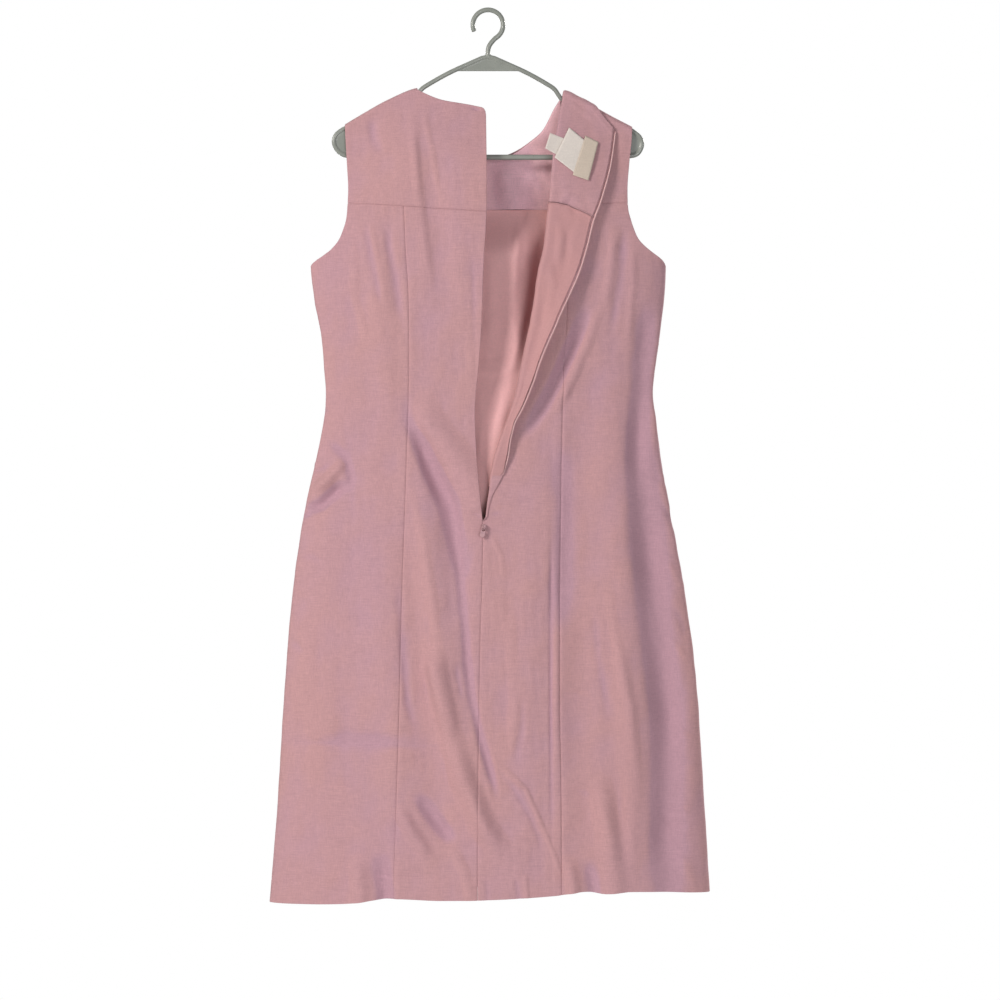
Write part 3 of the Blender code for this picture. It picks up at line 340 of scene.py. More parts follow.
# Creases and small folds that the solids leave out: half width and height in millimetres, sharpness, then
# places across and levels down, in millimetres. Similar ones are on the hidden front.
BACK_CREASES = """
4 -1.36 1 -23 125 -17 127 -9 129
10 2.1 1 -100 114 -95 179 -85 277 -72 374
10 -1.89 1 -155 130 -147 166 -137 192
9 -2.1 1 -132 265 -127 309 -116 374 -106 433
8 -1.53 1 -161 263 -151 316 -134 400
6 1.19 1 -153 265 -140 335 -127 413
9 1.89 1 -174 296 -171 374 -155 439
6 0.85 1 -87 114 -73 179 -57 264
6 -0.85 1.3 -20 296 -18 400 -14 504
8 -0.85 1 -182 530 -177 595 -174 686
29 7.77 1 -99 499 -68 547 -33 592 -11 625 5 650
18 -9.24 1 -111 494 -92 543 -73 592 -50 640 -39 693 -34 751
9 -3.78 1 -49 660 -36 725 -29 803 -25 881
9 -4.62 1 -27 816 -22 881 -7 946 17 1030
5 -1.7 1 -42 842 -38 862 -32 894
18 10.08 1 -74 816 -60 884 -43 953
9 1.89 1 -101 608 -83 686 -70 777 -59 881
21 9.24 1 -55 914 -32 992 -3 1057 36 1105
9 -1.89 1 -119 712 -109 816 -103 894 -85 953
13 5.46 1 -118 1024 -97 1061 -71 1100
14 -6.72 1 -96 1006 -70 1040 -42 1076
18 -2.1 1 -277 949 -180 944 -63 946
10 2.52 1 -48 1076 -30 1110 -20 1154
16 7.14 1 -169 1084 -164 1134 -161 1206
16 -7.98 1 -138 1084 -132 1134 -130 1206
13 -0.63 1 -194 816 -185 933 -175 1050
16 1.26 1 -239 764 -231 868 -218 998
9 -2.94 1 -210 554 -185 577 -176 606 -188 634
12 -7.14 1 -240 649 -216 640 -181 608
10 5.04 1 -229 624 -208 608 -182 581
5 -1.19 1 -226 507 -216 512 -205 523
5 -1.19 1 -226 598 -213 593 -205 585
6 -1.53 1 -250 658 -239 655 -226 653
8 -0.85 1 -243 712 -229 707 -213 715
6 0.85 1 -250 751 -237 757 -221 751
9 -1.05 1 -257 816 -241 829 -226 824
4 -0.476 2 -270 948 -192 946 -114 949 -29 950
4 0.51 2 -268 954 -179 953 -75 956
4 -0.51 2 -234 630 -179 632 -88 632
4 -1.19 1 -21 650 -14 653 -8 655
4 -1.19 1 -3 655 4 653 16 650
5 1.02 1 -23 642 -16 645 -9 646
5 1.02 1 0 647 8 645 21 642
6 -1.02 1 -18 692 -23 712 -29 738
6 0.85 1 5 679 16 702 21 738
14 -7.56 1 132 374 112 426 86 484 60 530 41 564
10 2.73 1 149 374 128 433 105 485 79 537
10 2.52 1 167 270 158 335 149 400
9 -1.89 1 177 278 172 348 157 429
8 1.36 1 190 283 187 361 180 439
21 -5.46 1 207 361 202 446 198 517 194 576 197 654
31 -9.66 1 193 491 197 547 205 670 219 800 233 911 232 1015 232 1128 231 1232
16 2.1 1 167 764 174 868 182 972 185 1089 185 1180
9 2.1 1 220 572 237 647 253 745 266 855 276 972
9 2.52 1 149 712 164 810 183 901 193 992 198 1063
8 -1.53 1 134 754 143 836 159 931
23 -3.99 1 91 543 99 634 98 712 91 829
5 -1.7 1.2 82 634 81 790 81 946 82 1102
5 1.19 1 90 660 88 829 88 1024
9 -1.68 1 46 881 42 933 36 979
5 2.04 1.6 0 962 26 983 49 1006 69 1050 86 1092 103 1136
6 -1.36 1 8 978 34 1004 55 1040 73 1087
4 1.02 1.8 95 878 113 879 135 887
4 1.36 1.8 100 994 126 1002 169 1017
6 -1.02 1 104 1004 133 1013 161 1024
5 1.36 1.4 176 1032 183 1063 188 1105
6 1.19 1 144 1022 151 1044 157 1069
12 5.46 1 102 1084 109 1128 112 1206
13 -6.72 1 128 1089 136 1134 138 1206
21 6.72 1 137 972 153 1050 162 1115 165 1206
6 -1.02 1 35 1113 38 1131 42 1152
5 1.19 1 47 1110 49 1131 52 1153
5 -0.85 1 -3 1115 -1 1135 0 1152
12 1.26 1 26 764 33 868 35 972
6 -1.53 1 221 632 233 650 244 679
6 1.53 1 229 707 242 731 255 754
6 -1.36 1 239 770 250 790 259 816
5 1.36 1 234 806 247 827 263 848
5 -1.19 1 234 863 250 881 263 887
6 1.53 1 229 1014 242 1027 263 1035
6 -1.36 1 224 1040 239 1053 263 1058
5 1.02 1 238 915 250 933 268 944
5 -1.02 1 244 959 257 972 272 978
5 1.02 1 211 764 217 803 226 829
6 -1.19 1 213 595 224 608 234 619
8 1.02 1 247 1084 258 1110 265 1136
4 -0.68 1.5 208 442 218 445 229 442
4 0.68 1.5 204 429 217 433 229 430
"""
FRONT_CREASES = """
20 -3.6 1 -120 150 -100 250 -82 380 -75 480
14 2.1 1 -98 170 -80 260 -66 360
16 -3 1 110 190 98 290 84 400 80 500
13 1.95 1 92 200 80 300 70 390
14 2.7 1 -150 300 -120 350 -88 392
12 -1.8 1 -160 318 -132 370 -100 412
14 2.7 1 152 305 122 352 92 398
12 -1.8 1 164 322 136 372 106 416
18 -3.9 1 -60 520 -40 640 -22 780 -15 900 -24 1010
12 2.25 1 -84 500 -66 620 -50 740 -46 860
12 1.8 1 -10 560 8 680 20 820 24 940
20 -3.3 1 64 560 58 700 66 840 84 980 92 1090
10 1.8 1 44 600 38 720 42 850 56 960
16 -2.7 1 178 480 190 620 206 780 214 960
11 1.95 1 150 520 158 640 168 780 180 900
15 -2.4 1 -186 500 -196 640 -208 800 -212 960
11 1.8 1 -158 540 -164 660 -172 800 -176 930
6 -1.65 1 -226 560 -208 572 -190 596
5 1.35 1 -232 586 -212 590 -196 584
6 -1.5 1 214 590 230 606 244 630
5 1.2 1 220 650 236 664 250 690
4 -0.75 2 -268 948 -180 946 -90 949 -20 947
4 0.525 2 -262 955 -170 954 -80 956
4 -0.675 2 30 650 110 652 190 648
5 1.35 1.6 -30 960 0 984 20 1020 34 1060 44 1110
6 -1.05 1 -24 976 4 1004 22 1044 34 1090
12 -2.1 1 -150 1120 -132 1108 -112 1118
11 1.5 1 120 1040 132 1080 140 1128
7 1.2 1 -96 1060 -90 1096 -88 1136
6 -1.05 1 12 1104 15 1124 17 1144
10 -1.35 1 -40 230 -44 300 -34 370
9 1.2 1 30 240 34 310 26 380
10 1.35 1 -60 430 -30 448 0 452 34 446
9 -1.2 1 -54 450 -20 470 20 470 50 456
5 1.05 1 236 700 246 724 258 742
5 -0.9 1 -246 860 -256 880 -264 910
"""
FLAP_CREASES = """
5 1 1.4 101 112 120 130 143 146
9 -0.8 1 109 120 130 140 151 159
6 0.9 1 88 255 101 244 109 231
6 -0.9 1 96 244 107 257 117 268
5 0.7 1 108 239 120 255 127 265
8 -0.8 1 84 231 88 244 94 252
9 1.2 1 88 273 94 296 91 335
9 -1 1 104 278 101 309 94 361
8 0.9 1 78 322 84 355 75 413
8 -0.9 1 74 374 68 413 55 478
6 0.8 1 88 374 78 426 60 491
6 0.7 1 48 504 36 543 23 582
"""
LINING_CREASES = """
13 -2.2 1 25 296 23 361 20 439
12 2 1 5 309 4 374 1 439
12 2.2 1 56 264 49 361 36 439 22 504
12 -1.8 1 69 283 62 374 47 465
9 1.4 1 39 264 38 309 34 374
10 -1.4 1 13 452 9 517 1 582
10 1.4 1 23 504 16 556 5 608
9 1.2 1 -8 478 -9 543 -6 608
16 1.6 1 -62 322 -68 452 -62 595
16 -1.6 1 -43 283 -47 413 -42 556
14 1.4 1 94 296 83 413 68 543
"""
FACING_CREASES = """
31 8 1 29 151 32 208 36 281
13 1.3 1 10 203 20 218 29 239
12 -0.9 1 34 200 42 221 52 242
8 0.8 1 52 205 62 218 75 231
10 -0.7 1 3 239 16 244 31 247
6 0.6 1 65 179 74 195 78 216
8 -0.6 1 16 198 31 198 47 195
"""


def creases_of(text):
    rows = [[float(word) for word in line.split()] for line in text.strip().splitlines()]
    return [(row[3:], row[0], row[1], row[2]) for row in rows]


BACK_FOLDS = creases_of(BACK_CREASES)
FRONT_FOLDS = creases_of(FRONT_CREASES)
FLAP_FOLDS = creases_of(FLAP_CREASES)
LINING_FOLDS = creases_of(LINING_CREASES)
FACING_FOLDS = creases_of(FACING_CREASES)


# Reading the tables

def read(table, at, value=1):
    """A smooth cubic through a column of a table, by its first column, kept level past its ends."""
    places, values = table[:, 0], table[:, value]
    if places[0] > places[-1]:
        places, values = places[::-1], values[::-1]
    held = np.clip(np.asarray(at, float), places[0], places[-1])
    cell = np.clip(np.searchsorted(places, held) - 1, 0, len(places) - 2)
    widths = np.diff(places)
    slopes = np.diff(values) / widths
    bends = np.empty(len(places))
    bends[0], bends[-1] = slopes[0], slopes[-1]
    bends[1:-1] = (values[2:] - values[:-2]) / (places[2:] - places[:-2])
    share = (held - places[cell]) / widths[cell]
    straight = values[cell] + (values[cell + 1] - values[cell]) * share ** 2 * (3 - 2 * share)
    lean = bends[cell] * share * (1 - share) ** 2 - bends[cell + 1] * share ** 2 * (1 - share)
    return straight + widths[cell] * lean


def ease(share):
    held = np.clip(share, 0.0, 1.0)
    return held * held * (3 - 2 * held)


def mix(first, second, share):
    return first + (second - first) * share


def unit(vectors):
    return vectors / np.maximum(np.linalg.norm(vectors, axis=-1, keepdims=True), 1e-12)


# The dress's surface

def half_width(x, level):
    return np.where(np.asarray(x) < 0, read(SECTIONS, level, 1), read(SECTIONS, level, 2))


def swell_height(x, level, side):
    total = np.zeros(np.broadcast(x, level).shape)
    for swell_side, top_x, top, bottom_x, bottom, half, tall in SWELLS:
        if swell_side == side:
            share = np.clip((top - level) / (top - bottom), 0.0, 1.0)
            away = np.clip(np.abs(x - mix(top_x, bottom_x, share)) / half, 0.0, 1.0)
            total += tall * np.sin(np.pi * share) ** 0.8 * np.cos(away * np.pi / 2) ** 2
    return total


def body_depth(x, level, side):
    share = np.minimum(1.0, np.abs(x) / half_width(x, level))
    round_out = np.sqrt(np.maximum(0.0, 1 - share * share))
    return round_out * (read(SECTIONS, level, 3 + side) + swell_height(x, level, side))


def drop_of(length):
    """How far a length of cloth from the shoulder's crest reaches down, once it has turned over the crest."""
    quarter = CREST_RADIUS * math.pi / 2
    turning = CREST_RADIUS * (1 - np.cos(np.minimum(length, quarter) / CREST_RADIUS))
    return np.where(length < quarter, turning, CREST_RADIUS + length - quarter)


def length_of(drop):
    turning = CREST_RADIUS * np.arccos(1 - np.clip(drop, 0, CREST_RADIUS) / CREST_RADIUS)
    return np.where(drop < CREST_RADIUS, turning, CREST_RADIUS * math.pi / 2 + drop - CREST_RADIUS)


def length_at(x, level):
    return length_of(read(SHOULDER_CREST, x) - level)


def surface(x, length, side):
    """The wall's middle at a place across and a length of cloth below the shoulder's crest."""
    x, length = np.broadcast_arrays(np.asarray(x, float), np.asarray(length, float))
    drop = drop_of(length)
    level = read(SHOULDER_CREST, x) - drop
    turning = np.sqrt(np.maximum(0, CREST_RADIUS ** 2 - (CREST_RADIUS - drop) ** 2))
    body = body_depth(x, level, side)
    opened = ease((drop - CREST_RADIUS) / (CREST_REACH - CREST_RADIUS))
    hanging = np.where(body > CREST_RADIUS, mix(CREST_RADIUS, body, opened), body)
    depth = np.where(drop < CREST_RADIUS, turning, hanging)
    return np.stack([x, depth if side == FRONT else -depth, level], axis=-1)


def outward(x, length, side):
    """The unit normal that points out of the dress."""
    low = np.maximum(length, NORMAL_STEP)
    along = surface(x, low + NORMAL_STEP, side) - surface(x, low - NORMAL_STEP, side)
    sideways = surface(x + NORMAL_STEP, low, side) - surface(x - NORMAL_STEP, low, side)
    normal = unit(np.cross(sideways, along))
    guide = normal[..., 2] * CREST_RADIUS + normal[..., 1] * (1 if side == FRONT else -1)
    return normal * np.where(guide < 0, -1, 1)[..., None]


def seam_level(x, side):
    """The level of the seam under the yoke."""
    share = np.maximum(0.0, 1 - np.abs(x) / YOKE_HALF_WIDTH)
    if side == FRONT:
        return YOKE_LEVEL - FRONT_YOKE_SAG * np.ones_like(share)
    return YOKE_LEVEL - np.where(np.asarray(x) < 0, LEFT_YOKE_SAG, RIGHT_YOKE_SAG) * share


def bent_level(x, level, side):
    """A row's level, drawn towards the yoke seam's and the hem's shapes near them."""
    near_yoke = np.maximum(0.0, 1 - (YOKE_LEVEL - level) / YOKE_BEND_REACH)
    near_hem = np.maximum(0.0, 1 - (level - HEM_LEVEL) / HEM_BEND_REACH)
    hem = read(HEM, x) + (FRONT_HEM_RISE if side == FRONT else 0.0)
    return level + near_yoke * (seam_level(x, side) - YOKE_LEVEL) + near_hem * (hem - HEM_LEVEL)


def below_seam(level, bent):
    """A row's bent level, half a seam gap lower where it is a panel's first one."""
    return bent - (SEAM_GAP / 2 if level == YOKE_LEVEL else 0)


def row_points(x, level, side):
    return surface(x, length_at(x, below_seam(level, bent_level(x, level, side))), side)


# Places along a grid line: close together near an edge, then even

EDGE_PLACES = (0.0, 0.0004, 0.0009, 0.0015, 0.0023, 0.0034, 0.0052, 0.0078)
STITCH_PLACES = (-0.0016, -0.0008, 0, 0.0008, 0.0016)
LEAST_PITCH = 0.00025


def graded(width, pitch=PITCH, first=True, last=True):
    """Shares from 0 to 1 along a line of this width, crowded at the ends that are marked."""
    start = np.array(EDGE_PLACES if first else (0.0,))
    stop = width - np.array(EDGE_PLACES if last else (0.0,))[::-1]
    steps = max(2, round((stop[0] - start[-1]) / pitch))
    middle = np.linspace(start[-1], stop[0], steps + 1)[1:-1]
    return np.concatenate([start, middle, stop]) / width


def panel_levels(extra=()):
    """Row levels from the yoke seam to the hem, with close rows at the hem's stitches and any extra ones."""
    places = YOKE_LEVEL - graded(PANEL_LENGTH) * PANEL_LENGTH
    places = np.concatenate([places, HEM_LEVEL + HEM_DEPTH + np.array(STITCH_PLACES), extra])
    places = np.array(sorted(set(np.round(places, 6)), reverse=True))
    places = places[np.concatenate([[True], np.abs(np.diff(places)) > LEAST_PITCH])]
    places[0], places[-1] = YOKE_LEVEL, HEM_LEVEL
    return places


# Relief that the solids leave out

def crease_relief(x, level, creases):
    """Height out of the cloth from a list of creases: points along it, half width, height and sharpness."""
    total = np.zeros(x.shape)
    for line, half, tall, power in creases:
        points = np.array(line).reshape(-1, 2) * (MM, -MM)
        spans = np.diff(points, axis=0)
        lengths = np.hypot(spans[:, 0], spans[:, 1])
        near = np.full(x.shape, 1e9)
        along = np.zeros(x.shape)
        passed = 0.0
        for point, span, length in zip(points, spans, lengths):
            share = np.clip(((x - point[0]) * span[0] + (level - point[1]) * span[1]) / length ** 2, 0, 1)
            away = np.hypot(x - point[0] - share * span[0], level - point[1] - share * span[1])
            closer = away < near
            near = np.where(closer, away, near)
            along = np.where(closer, passed + share * length, along)
            passed += length
        across = np.clip(near / (half * MM), 0, 1)
        held = along / passed
        fade = ease(held / CREASE_FADE) * ease((1 - held) / CREASE_FADE)
        wander = 1 + WANDER * np.sin(along / WANDER_LENGTH + tall * 7 + half)
        total += tall * MM * fade * wander * (np.cos(across * np.pi / 2) ** 2) ** power
    return total


def cloth_grain(x, level, seed, height=0.00018):
    """A faint unevenness, as of pressed linen that has hung for a while."""
    source = np.random.RandomState(seed)
    total = np.zeros(x.shape)
    for period in GRAIN_PERIODS:
        for _ in range(3):
            turn = source.uniform(0, math.pi)
            phase = source.uniform(0, 2 * math.pi)
            reach = period * source.uniform(0.8, 1.25)
            along = x * math.cos(turn) + level * 0.6 * math.sin(turn)
            total += (period / GRAIN_PERIODS[0]) ** 0.55 * np.sin(2 * math.pi * along / reach + phase)
    return total * height


def outer_relief(grid, side):
    x, level = grid[..., 0], grid[..., 2]
    folds = BACK_FOLDS if side == BACK else FRONT_FOLDS
    return crease_relief(x, level, folds) + cloth_grain(x, level, 11 + side)


def calm_near_crest(relief, grid):
    """Relief that dies out over the hanger, where the cloth is drawn over the arm."""
    drop = read(SHOULDER_CREST, grid[..., 0]) - grid[..., 2]
    return relief * ease((drop - CALM_DROP) / CALM_FADE)


def normals_of(grid, sign):
    across = np.empty_like(grid)
    across[:, 1:-1] = grid[:, 2:] - grid[:, :-2]
    across[:, 0], across[:, -1] = grid[:, 1] - grid[:, 0], grid[:, -1] - grid[:, -2]
    down = np.empty_like(grid)
    down[1:-1] = grid[2:] - grid[:-2]
    down[0], down[-1] = grid[1] - grid[0], grid[-1] - grid[-2]
    return unit(np.cross(unit(down), unit(across))) * sign


def distances(grid):
    """Each point's distance along the grid from the left, right, top and bottom edges."""
    steps = np.linalg.norm(np.diff(grid, axis=1), axis=2)
    left = np.concatenate([np.zeros((len(grid), 1)), np.cumsum(steps, axis=1)], axis=1)
    drops = np.linalg.norm(np.diff(grid, axis=0), axis=2)
    top = np.concatenate([np.zeros((1, grid.shape[1])), np.cumsum(drops, axis=0)], axis=0)
    return {"left": left, "right": left[:, -1:] - left, "top": top, "bottom": top[-1:] - top}


def edge_shapes(grid, edges):
    """How far the middle sinks, how much thicker the inside is and how full the wall is, by its edges' kinds.

    An edge has one kind or a list of them, each with a weight or without.
    """
    away = distances(grid)
    sink, inside, full = np.zeros(grid.shape[:2]), np.zeros(grid.shape[:2]), np.ones(grid.shape[:2])
    for edge, kinds in edges.items():
        for kind in kinds if isinstance(kinds, list) else [kinds]:
            kind, weight = kind if isinstance(kind, tuple) else (kind, 1.0)
            far = away[edge]
            round_over = np.sqrt(np.clip(1 - (1 - np.clip(far / EDGE_ROUND, 0, 1)) ** 2, LEAST_FULL, 1))
            if kind == "seam":
                sink -= weight * SEAM_DEPTH * np.exp(-(far / SEAM_SPREAD) ** 2)
                allowance = 1 - ease((far - SEAM_ALLOWANCE) / ALLOWANCE_FADE)
                sink += weight * ALLOWANCE_RISE * allowance * (1 - np.exp(-(far / ALLOWANCE_START) ** 2))
            elif kind == "finished":
                inside = np.maximum(inside, weight * TURNED * (1 - ease((far - TURNED_WIDTH) / TURNED_FADE)))
                full = np.minimum(full, mix(1.0, round_over, weight))
            elif kind == "hem":
                inside = np.maximum(inside, TURNED * (1 - ease((far - HEM_DEPTH) / HEM_FADE)))
                sink -= STITCH_DEPTH * np.exp(-((far - HEM_DEPTH) / STITCH_SPREAD) ** 2)
                full = np.minimum(full, round_over)
            elif kind == "raw":
                full = np.minimum(full, round_over)
    return sink, inside, full


# Pieces

MATERIALS = {}
GRIDS = {}


def add_piece(name, mesh, material, body="dress"):
    """A visible piece of this mesh on its body, in its material's slot."""
    mesh.name = name
    mesh.materials.clear()
    mesh.materials.append(MATERIALS[material])
    mesh.shade_smooth()
    piece = bpy.data.objects.new(name, mesh)
    bpy.context.scene.collection.objects.link(piece)
    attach(piece, body)
    return piece


def add_mesh(name, points, faces, material, fold=None, slot=None):
    """A piece from points and faces. The fold tells the material how far out of the cloth each point lies; it
    paints shade in creases from it.
    """
    mesh = bpy.data.meshes.new(name)
    mesh.from_pydata(points.tolist(), [], [list(face) for face in faces])
    mesh.update()
    tint = mesh.attributes.new("fold", "FLOAT", "POINT")
    values = np.zeros(len(points)) if fold is None else np.clip(fold / MM, -3, 3)
    tint.data.foreach_set("value", values.astype(np.float32))
    return add_piece(name, mesh, material)


def shell(name, grid, sign, edges, relief=None, wall=WALL, material="outer"):
    """A closed cloth piece on a grid of middle points, in place of the solid that it is named after.

    The sign turns the grid's normals out of the dress.
    """
    sink, inside, full = edge_shapes(grid, edges)
    lift = sink if relief is None else sink + relief
    grid = grid + normals_of(grid, sign) * lift[..., None]
    normals = normals_of(grid, sign)
    GRIDS[name] = (grid, normals)
    outer = grid + normals * (wall / 2 * full)[..., None]
    inner = grid - normals * ((wall / 2 + inside) * full)[..., None]
    rows, columns = grid.shape[:2]
    count = rows * columns
    index = np.arange(count).reshape(rows, columns)
    corners = [index[:-1, :-1], index[:-1, 1:], index[1:, 1:], index[1:, :-1]]
    quads = np.stack(corners, axis=-1).reshape(-1, 4)
    rim = np.concatenate([index[0, :-1], index[:-1, -1], index[-1, :0:-1], index[:0:-1, 0]])
    after = np.roll(rim, -1)
    walls = np.stack([rim, rim + count, after + count, after], axis=-1)
    faces = np.concatenate([quads, quads[:, ::-1] + count, walls])
    if sign > 0:
        faces = faces[:, ::-1]
    points = np.concatenate([outer.reshape(-1, 3), inner.reshape(-1, 3)])
    fold = None if relief is None else np.concatenate([relief.ravel(), relief.ravel()])
    piece = add_mesh(name, points, faces, material, fold)
    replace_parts(piece, name.removesuffix("_cloth"))


# Materials

def set_inputs(tree, made, inputs):
    """Gives a node's inputs their values, or the sockets that they come from."""
    for key, value in inputs.items():
        if isinstance(value, bpy.types.NodeSocket):
            tree.links.new(value, made.inputs[key])
        else:
            made.inputs[key].default_value = value


def node(tree, kind, inputs=None, **settings):
    made = tree.nodes.new(kind)
    for key, value in settings.items():
        setattr(made, key, value)
    set_inputs(tree, made, inputs or {})
    return made


def new_material(name):
    """An empty material's node tree."""
    MATERIALS[name] = bpy.data.materials.new(name)
    MATERIALS[name].use_nodes = True
    return MATERIALS[name].node_tree


def blend_colour(tree, share, first, second, kind="MIX"):
    inputs = {0: share, 6: first, 7: second}
    return node(tree, "ShaderNodeMix", inputs, data_type="RGBA", blend_type=kind).outputs[2]


def toned(tree, colour, tone):
    """A colour, made lighter or darker by a single value."""
    grey = node(tree, "ShaderNodeCombineColor", {"Red": tone, "Green": tone, "Blue": tone})
    return blend_colour(tree, 1.0, colour, grey.outputs[0], "MULTIPLY")


def arithmetic(tree, operation, *values):
    return node(tree, "ShaderNodeMath", dict(enumerate(values)), operation=operation).outputs[0]


def noise(tree, place, scale, detail=2.0, stretch=None, roughness=0.5):
    if stretch:
        place = node(tree, "ShaderNodeMapping", {"Vector": place, "Scale": stretch}).outputs["Vector"]
    inputs = {"Vector": place, "Scale": scale, "Detail": detail, "Roughness": roughness}
    return node(tree, "ShaderNodeTexNoise", inputs).outputs["Fac"]


def ribs(tree, place, axis, period, wobble=0.6):
    """Even ribs across an axis, this far apart."""
    inputs = {"Vector": place, "Scale": WAVE_SCALE / period, "Distortion": wobble, "Detail": 1.0,
              "Detail Scale": 0.4}
    kinds = {"wave_type": "BANDS", "bands_direction": axis, "wave_profile": "SIN"}
    return node(tree, "ShaderNodeTexWave", inputs, **kinds).outputs["Fac"]


def spread_map(tree, value, low, high, to_low=0.0, to_high=1.0):
    inputs = {"Value": value, "From Min": low, "From Max": high, "To Min": to_low, "To Max": to_high}
    return node(tree, "ShaderNodeMapRange", inputs, clamp=True).outputs["Result"]


def finish_material(tree, colour, rough, height, strength, distance, others):
    """Gives the shader its colour, roughness and bump, and the other inputs' values."""
    bump = node(tree, "ShaderNodeBump", {"Height": height, "Strength": strength, "Distance": distance})
    set_inputs(tree, tree.nodes["Principled BSDF"], {
        "Base Color": colour, "Roughness": rough, "Normal": bump.outputs["Normal"], **others})


def cloth_material(name, warm, cool_and_shade, thread, rough, sheen, slub, bump):
    """Plain weave: two sets of threads, slubs along both, warmer and cooler dye in random patches, and
    painted shade in creases, which take more of the cooler tint the deeper they sink.
    """
    tree = new_material(name)
    place = node(tree, "ShaderNodeTexCoord").outputs["Object"]
    patches = spread_map(tree, noise(tree, place, 9.0, 3.0, (1, 1, 0.55)), 0.40, 0.68, 0.0, 0.40)
    # Painted shade in creases: the further a point lies below the cloth's surface, by its fold attribute, the
    # more of the cool tint it takes.
    fold = node(tree, "ShaderNodeAttribute", attribute_name="fold").outputs["Fac"]
    share = arithmetic(tree, "ADD", patches, spread_map(tree, fold, 0.3, -2.2))
    colour = blend_colour(tree, arithmetic(tree, "MINIMUM", share, 1.0), (*warm, 1), (*cool_and_shade, 1))
    along = noise(tree, place, 1.0, 2.0, (1500, 1500, 90), 0.6)
    over = noise(tree, place, 1.0, 2.0, (80, 80, 1300), 0.6)
    streaks = arithmetic(tree, "ADD", along, over)
    light = spread_map(tree, streaks, 0.72, 1.28, 1 - slub, 1 + slub)
    fleck = spread_map(tree, noise(tree, place, 420.0, 2.0), 0.3, 0.7, 0.97, 1.03)
    colour = toned(tree, colour, arithmetic(tree, "MULTIPLY", light, fleck))
    weave = arithmetic(tree, "MAXIMUM", ribs(tree, place, "X", thread), ribs(tree, place, "Z", thread * 1.1))
    height = arithmetic(tree, "MULTIPLY_ADD", streaks, 0.9, weave)
    rough_map = spread_map(tree, streaks, 0.7, 1.3, rough - 0.06, rough + 0.06)
    finish_material(tree, colour, rough_map, height, bump * 4, 0.00025, {
        "Sheen Weight": sheen, "Sheen Roughness": 0.5, "Sheen Tint": (1.0, 0.88, 0.90, 1),
        "Specular IOR Level": 0.25})


def tape_material(name, colour, period):
    """Woven tape or a coil, ribbed across."""
    tree = new_material(name)
    across = ribs(tree, node(tree, "ShaderNodeTexCoord").outputs["Object"], "Z", period, 0.2)
    mixed = toned(tree, (*colour, 1), spread_map(tree, across, 0.0, 1.0, 0.86, 1.06))
    finish_material(tree, mixed, spread_map(tree, across, 0, 1, 0.5, 0.68), across, 0.5, 0.0002, {})


def smooth_material(name, colour, dark, rough, metallic, coat, scale, bump):
    """Moulded plastic or lacquered metal, with faint cloudiness and scuffs."""
    tree = new_material(name)
    place = node(tree, "ShaderNodeTexCoord").outputs["Object"]
    clouds = spread_map(tree, noise(tree, place, scale, 4.0), 0.35, 0.7)
    scuffs = noise(tree, place, 900.0, 3.0, (1, 1, 0.2))
    mixed = blend_colour(tree, clouds, (*colour, 1), (*dark, 1))
    rough_map = spread_map(tree, scuffs, 0.3, 0.75, rough - 0.05, rough + 0.10)
    others = {"Metallic": metallic, "Coat Weight": coat}
    finish_material(tree, mixed, rough_map, scuffs, bump, 0.0003, others)


# Name, warm dye, the cool tint that random patches take and that also paints shade in creases, the threads'
# pitch,
# then roughness, sheen, slub and bump. The facing and lining copies for the cloth inside the dress are
# painted light:
# lighter colours that stand in for the light that this cloth gets too little of.
for row in (
    ("outer", (0.545, 0.306, 0.314), (0.505, 0.296, 0.352), 0.00055, 0.86, 0.25, 0.10, 0.10),
    ("lining", (0.550, 0.288, 0.284), (0.508, 0.276, 0.290), 0.00030, 0.62, 0.15, 0.04, 0.05),
    ("facing", (0.545, 0.306, 0.314), (0.505, 0.296, 0.350), 0.00055, 0.86, 0.25, 0.10, 0.10),
    ("facing_painted_light", (0.860, 0.530, 0.555), (0.820, 0.510, 0.575), 0.00055, 0.86, 0.25, 0.10, 0.10),
    ("lining_painted_light", (0.860, 0.475, 0.450), (0.815, 0.460, 0.460), 0.00030, 0.80, 0.15, 0.04, 0.05),
    ("label_beige", (0.660, 0.565, 0.465), (0.630, 0.535, 0.440), 0.00035, 0.55, 0.20, 0.05, 0.10),
    ("label_white", (0.790, 0.730, 0.665), (0.745, 0.680, 0.625), 0.00028, 0.65, 0.10, 0.04, 0.08),
):
    cloth_material(*row)
tape_material("tape", (0.700, 0.400, 0.405), 0.0007)
tape_material("coil", (0.820, 0.560, 0.560), 0.0009)
smooth_material("metal", (0.50, 0.30, 0.31), (0.42, 0.25, 0.27), 0.42, 0.45, 0.15, 300.0, 0.01)
smooth_material("plastic", (0.285, 0.305, 0.272), (0.245, 0.265, 0.238), 0.30, 0.0, 0.15, 45.0, 0.05)


# Yokes

YOKE_DOWN = np.unique(np.round(np.concatenate([
    np.linspace(0, 0.10, 13), 0.10 + 0.90 * graded(YOKE_DEPTH, YOKE_PITCH, first=False)]), 6))
YOKE_EDGES = {"left": "finished", "right": "finished", "bottom": "seam"}
CORNER_ROUND, CORNER_DOWN, CORNER_COLUMNS = 0.0056, 0.085, 6.0


def corner_shares(places):
    """Shares across a yoke, crowded at its ends and round the neck's corners, and the corners' columns."""
    shares, columns = np.zeros(1), []
    for first, last in zip(places, places[1:]):
        width = last - first
        shares = np.concatenate([shares, first - places[0] + graded(width, YOKE_PITCH)[1:] * width])
        columns.append(len(shares) - 1)
    return shares / (places[-1] - places[0]), columns[:-1]


def armhole_x(down, sign):
    armhole, tip = (LEFT_ARMHOLE, LEFT_TIP) if sign < 0 else (RIGHT_ARMHOLE, RIGHT_TIP)
    return float(read(armhole, mix(tip[1], YOKE_LEVEL, down)))


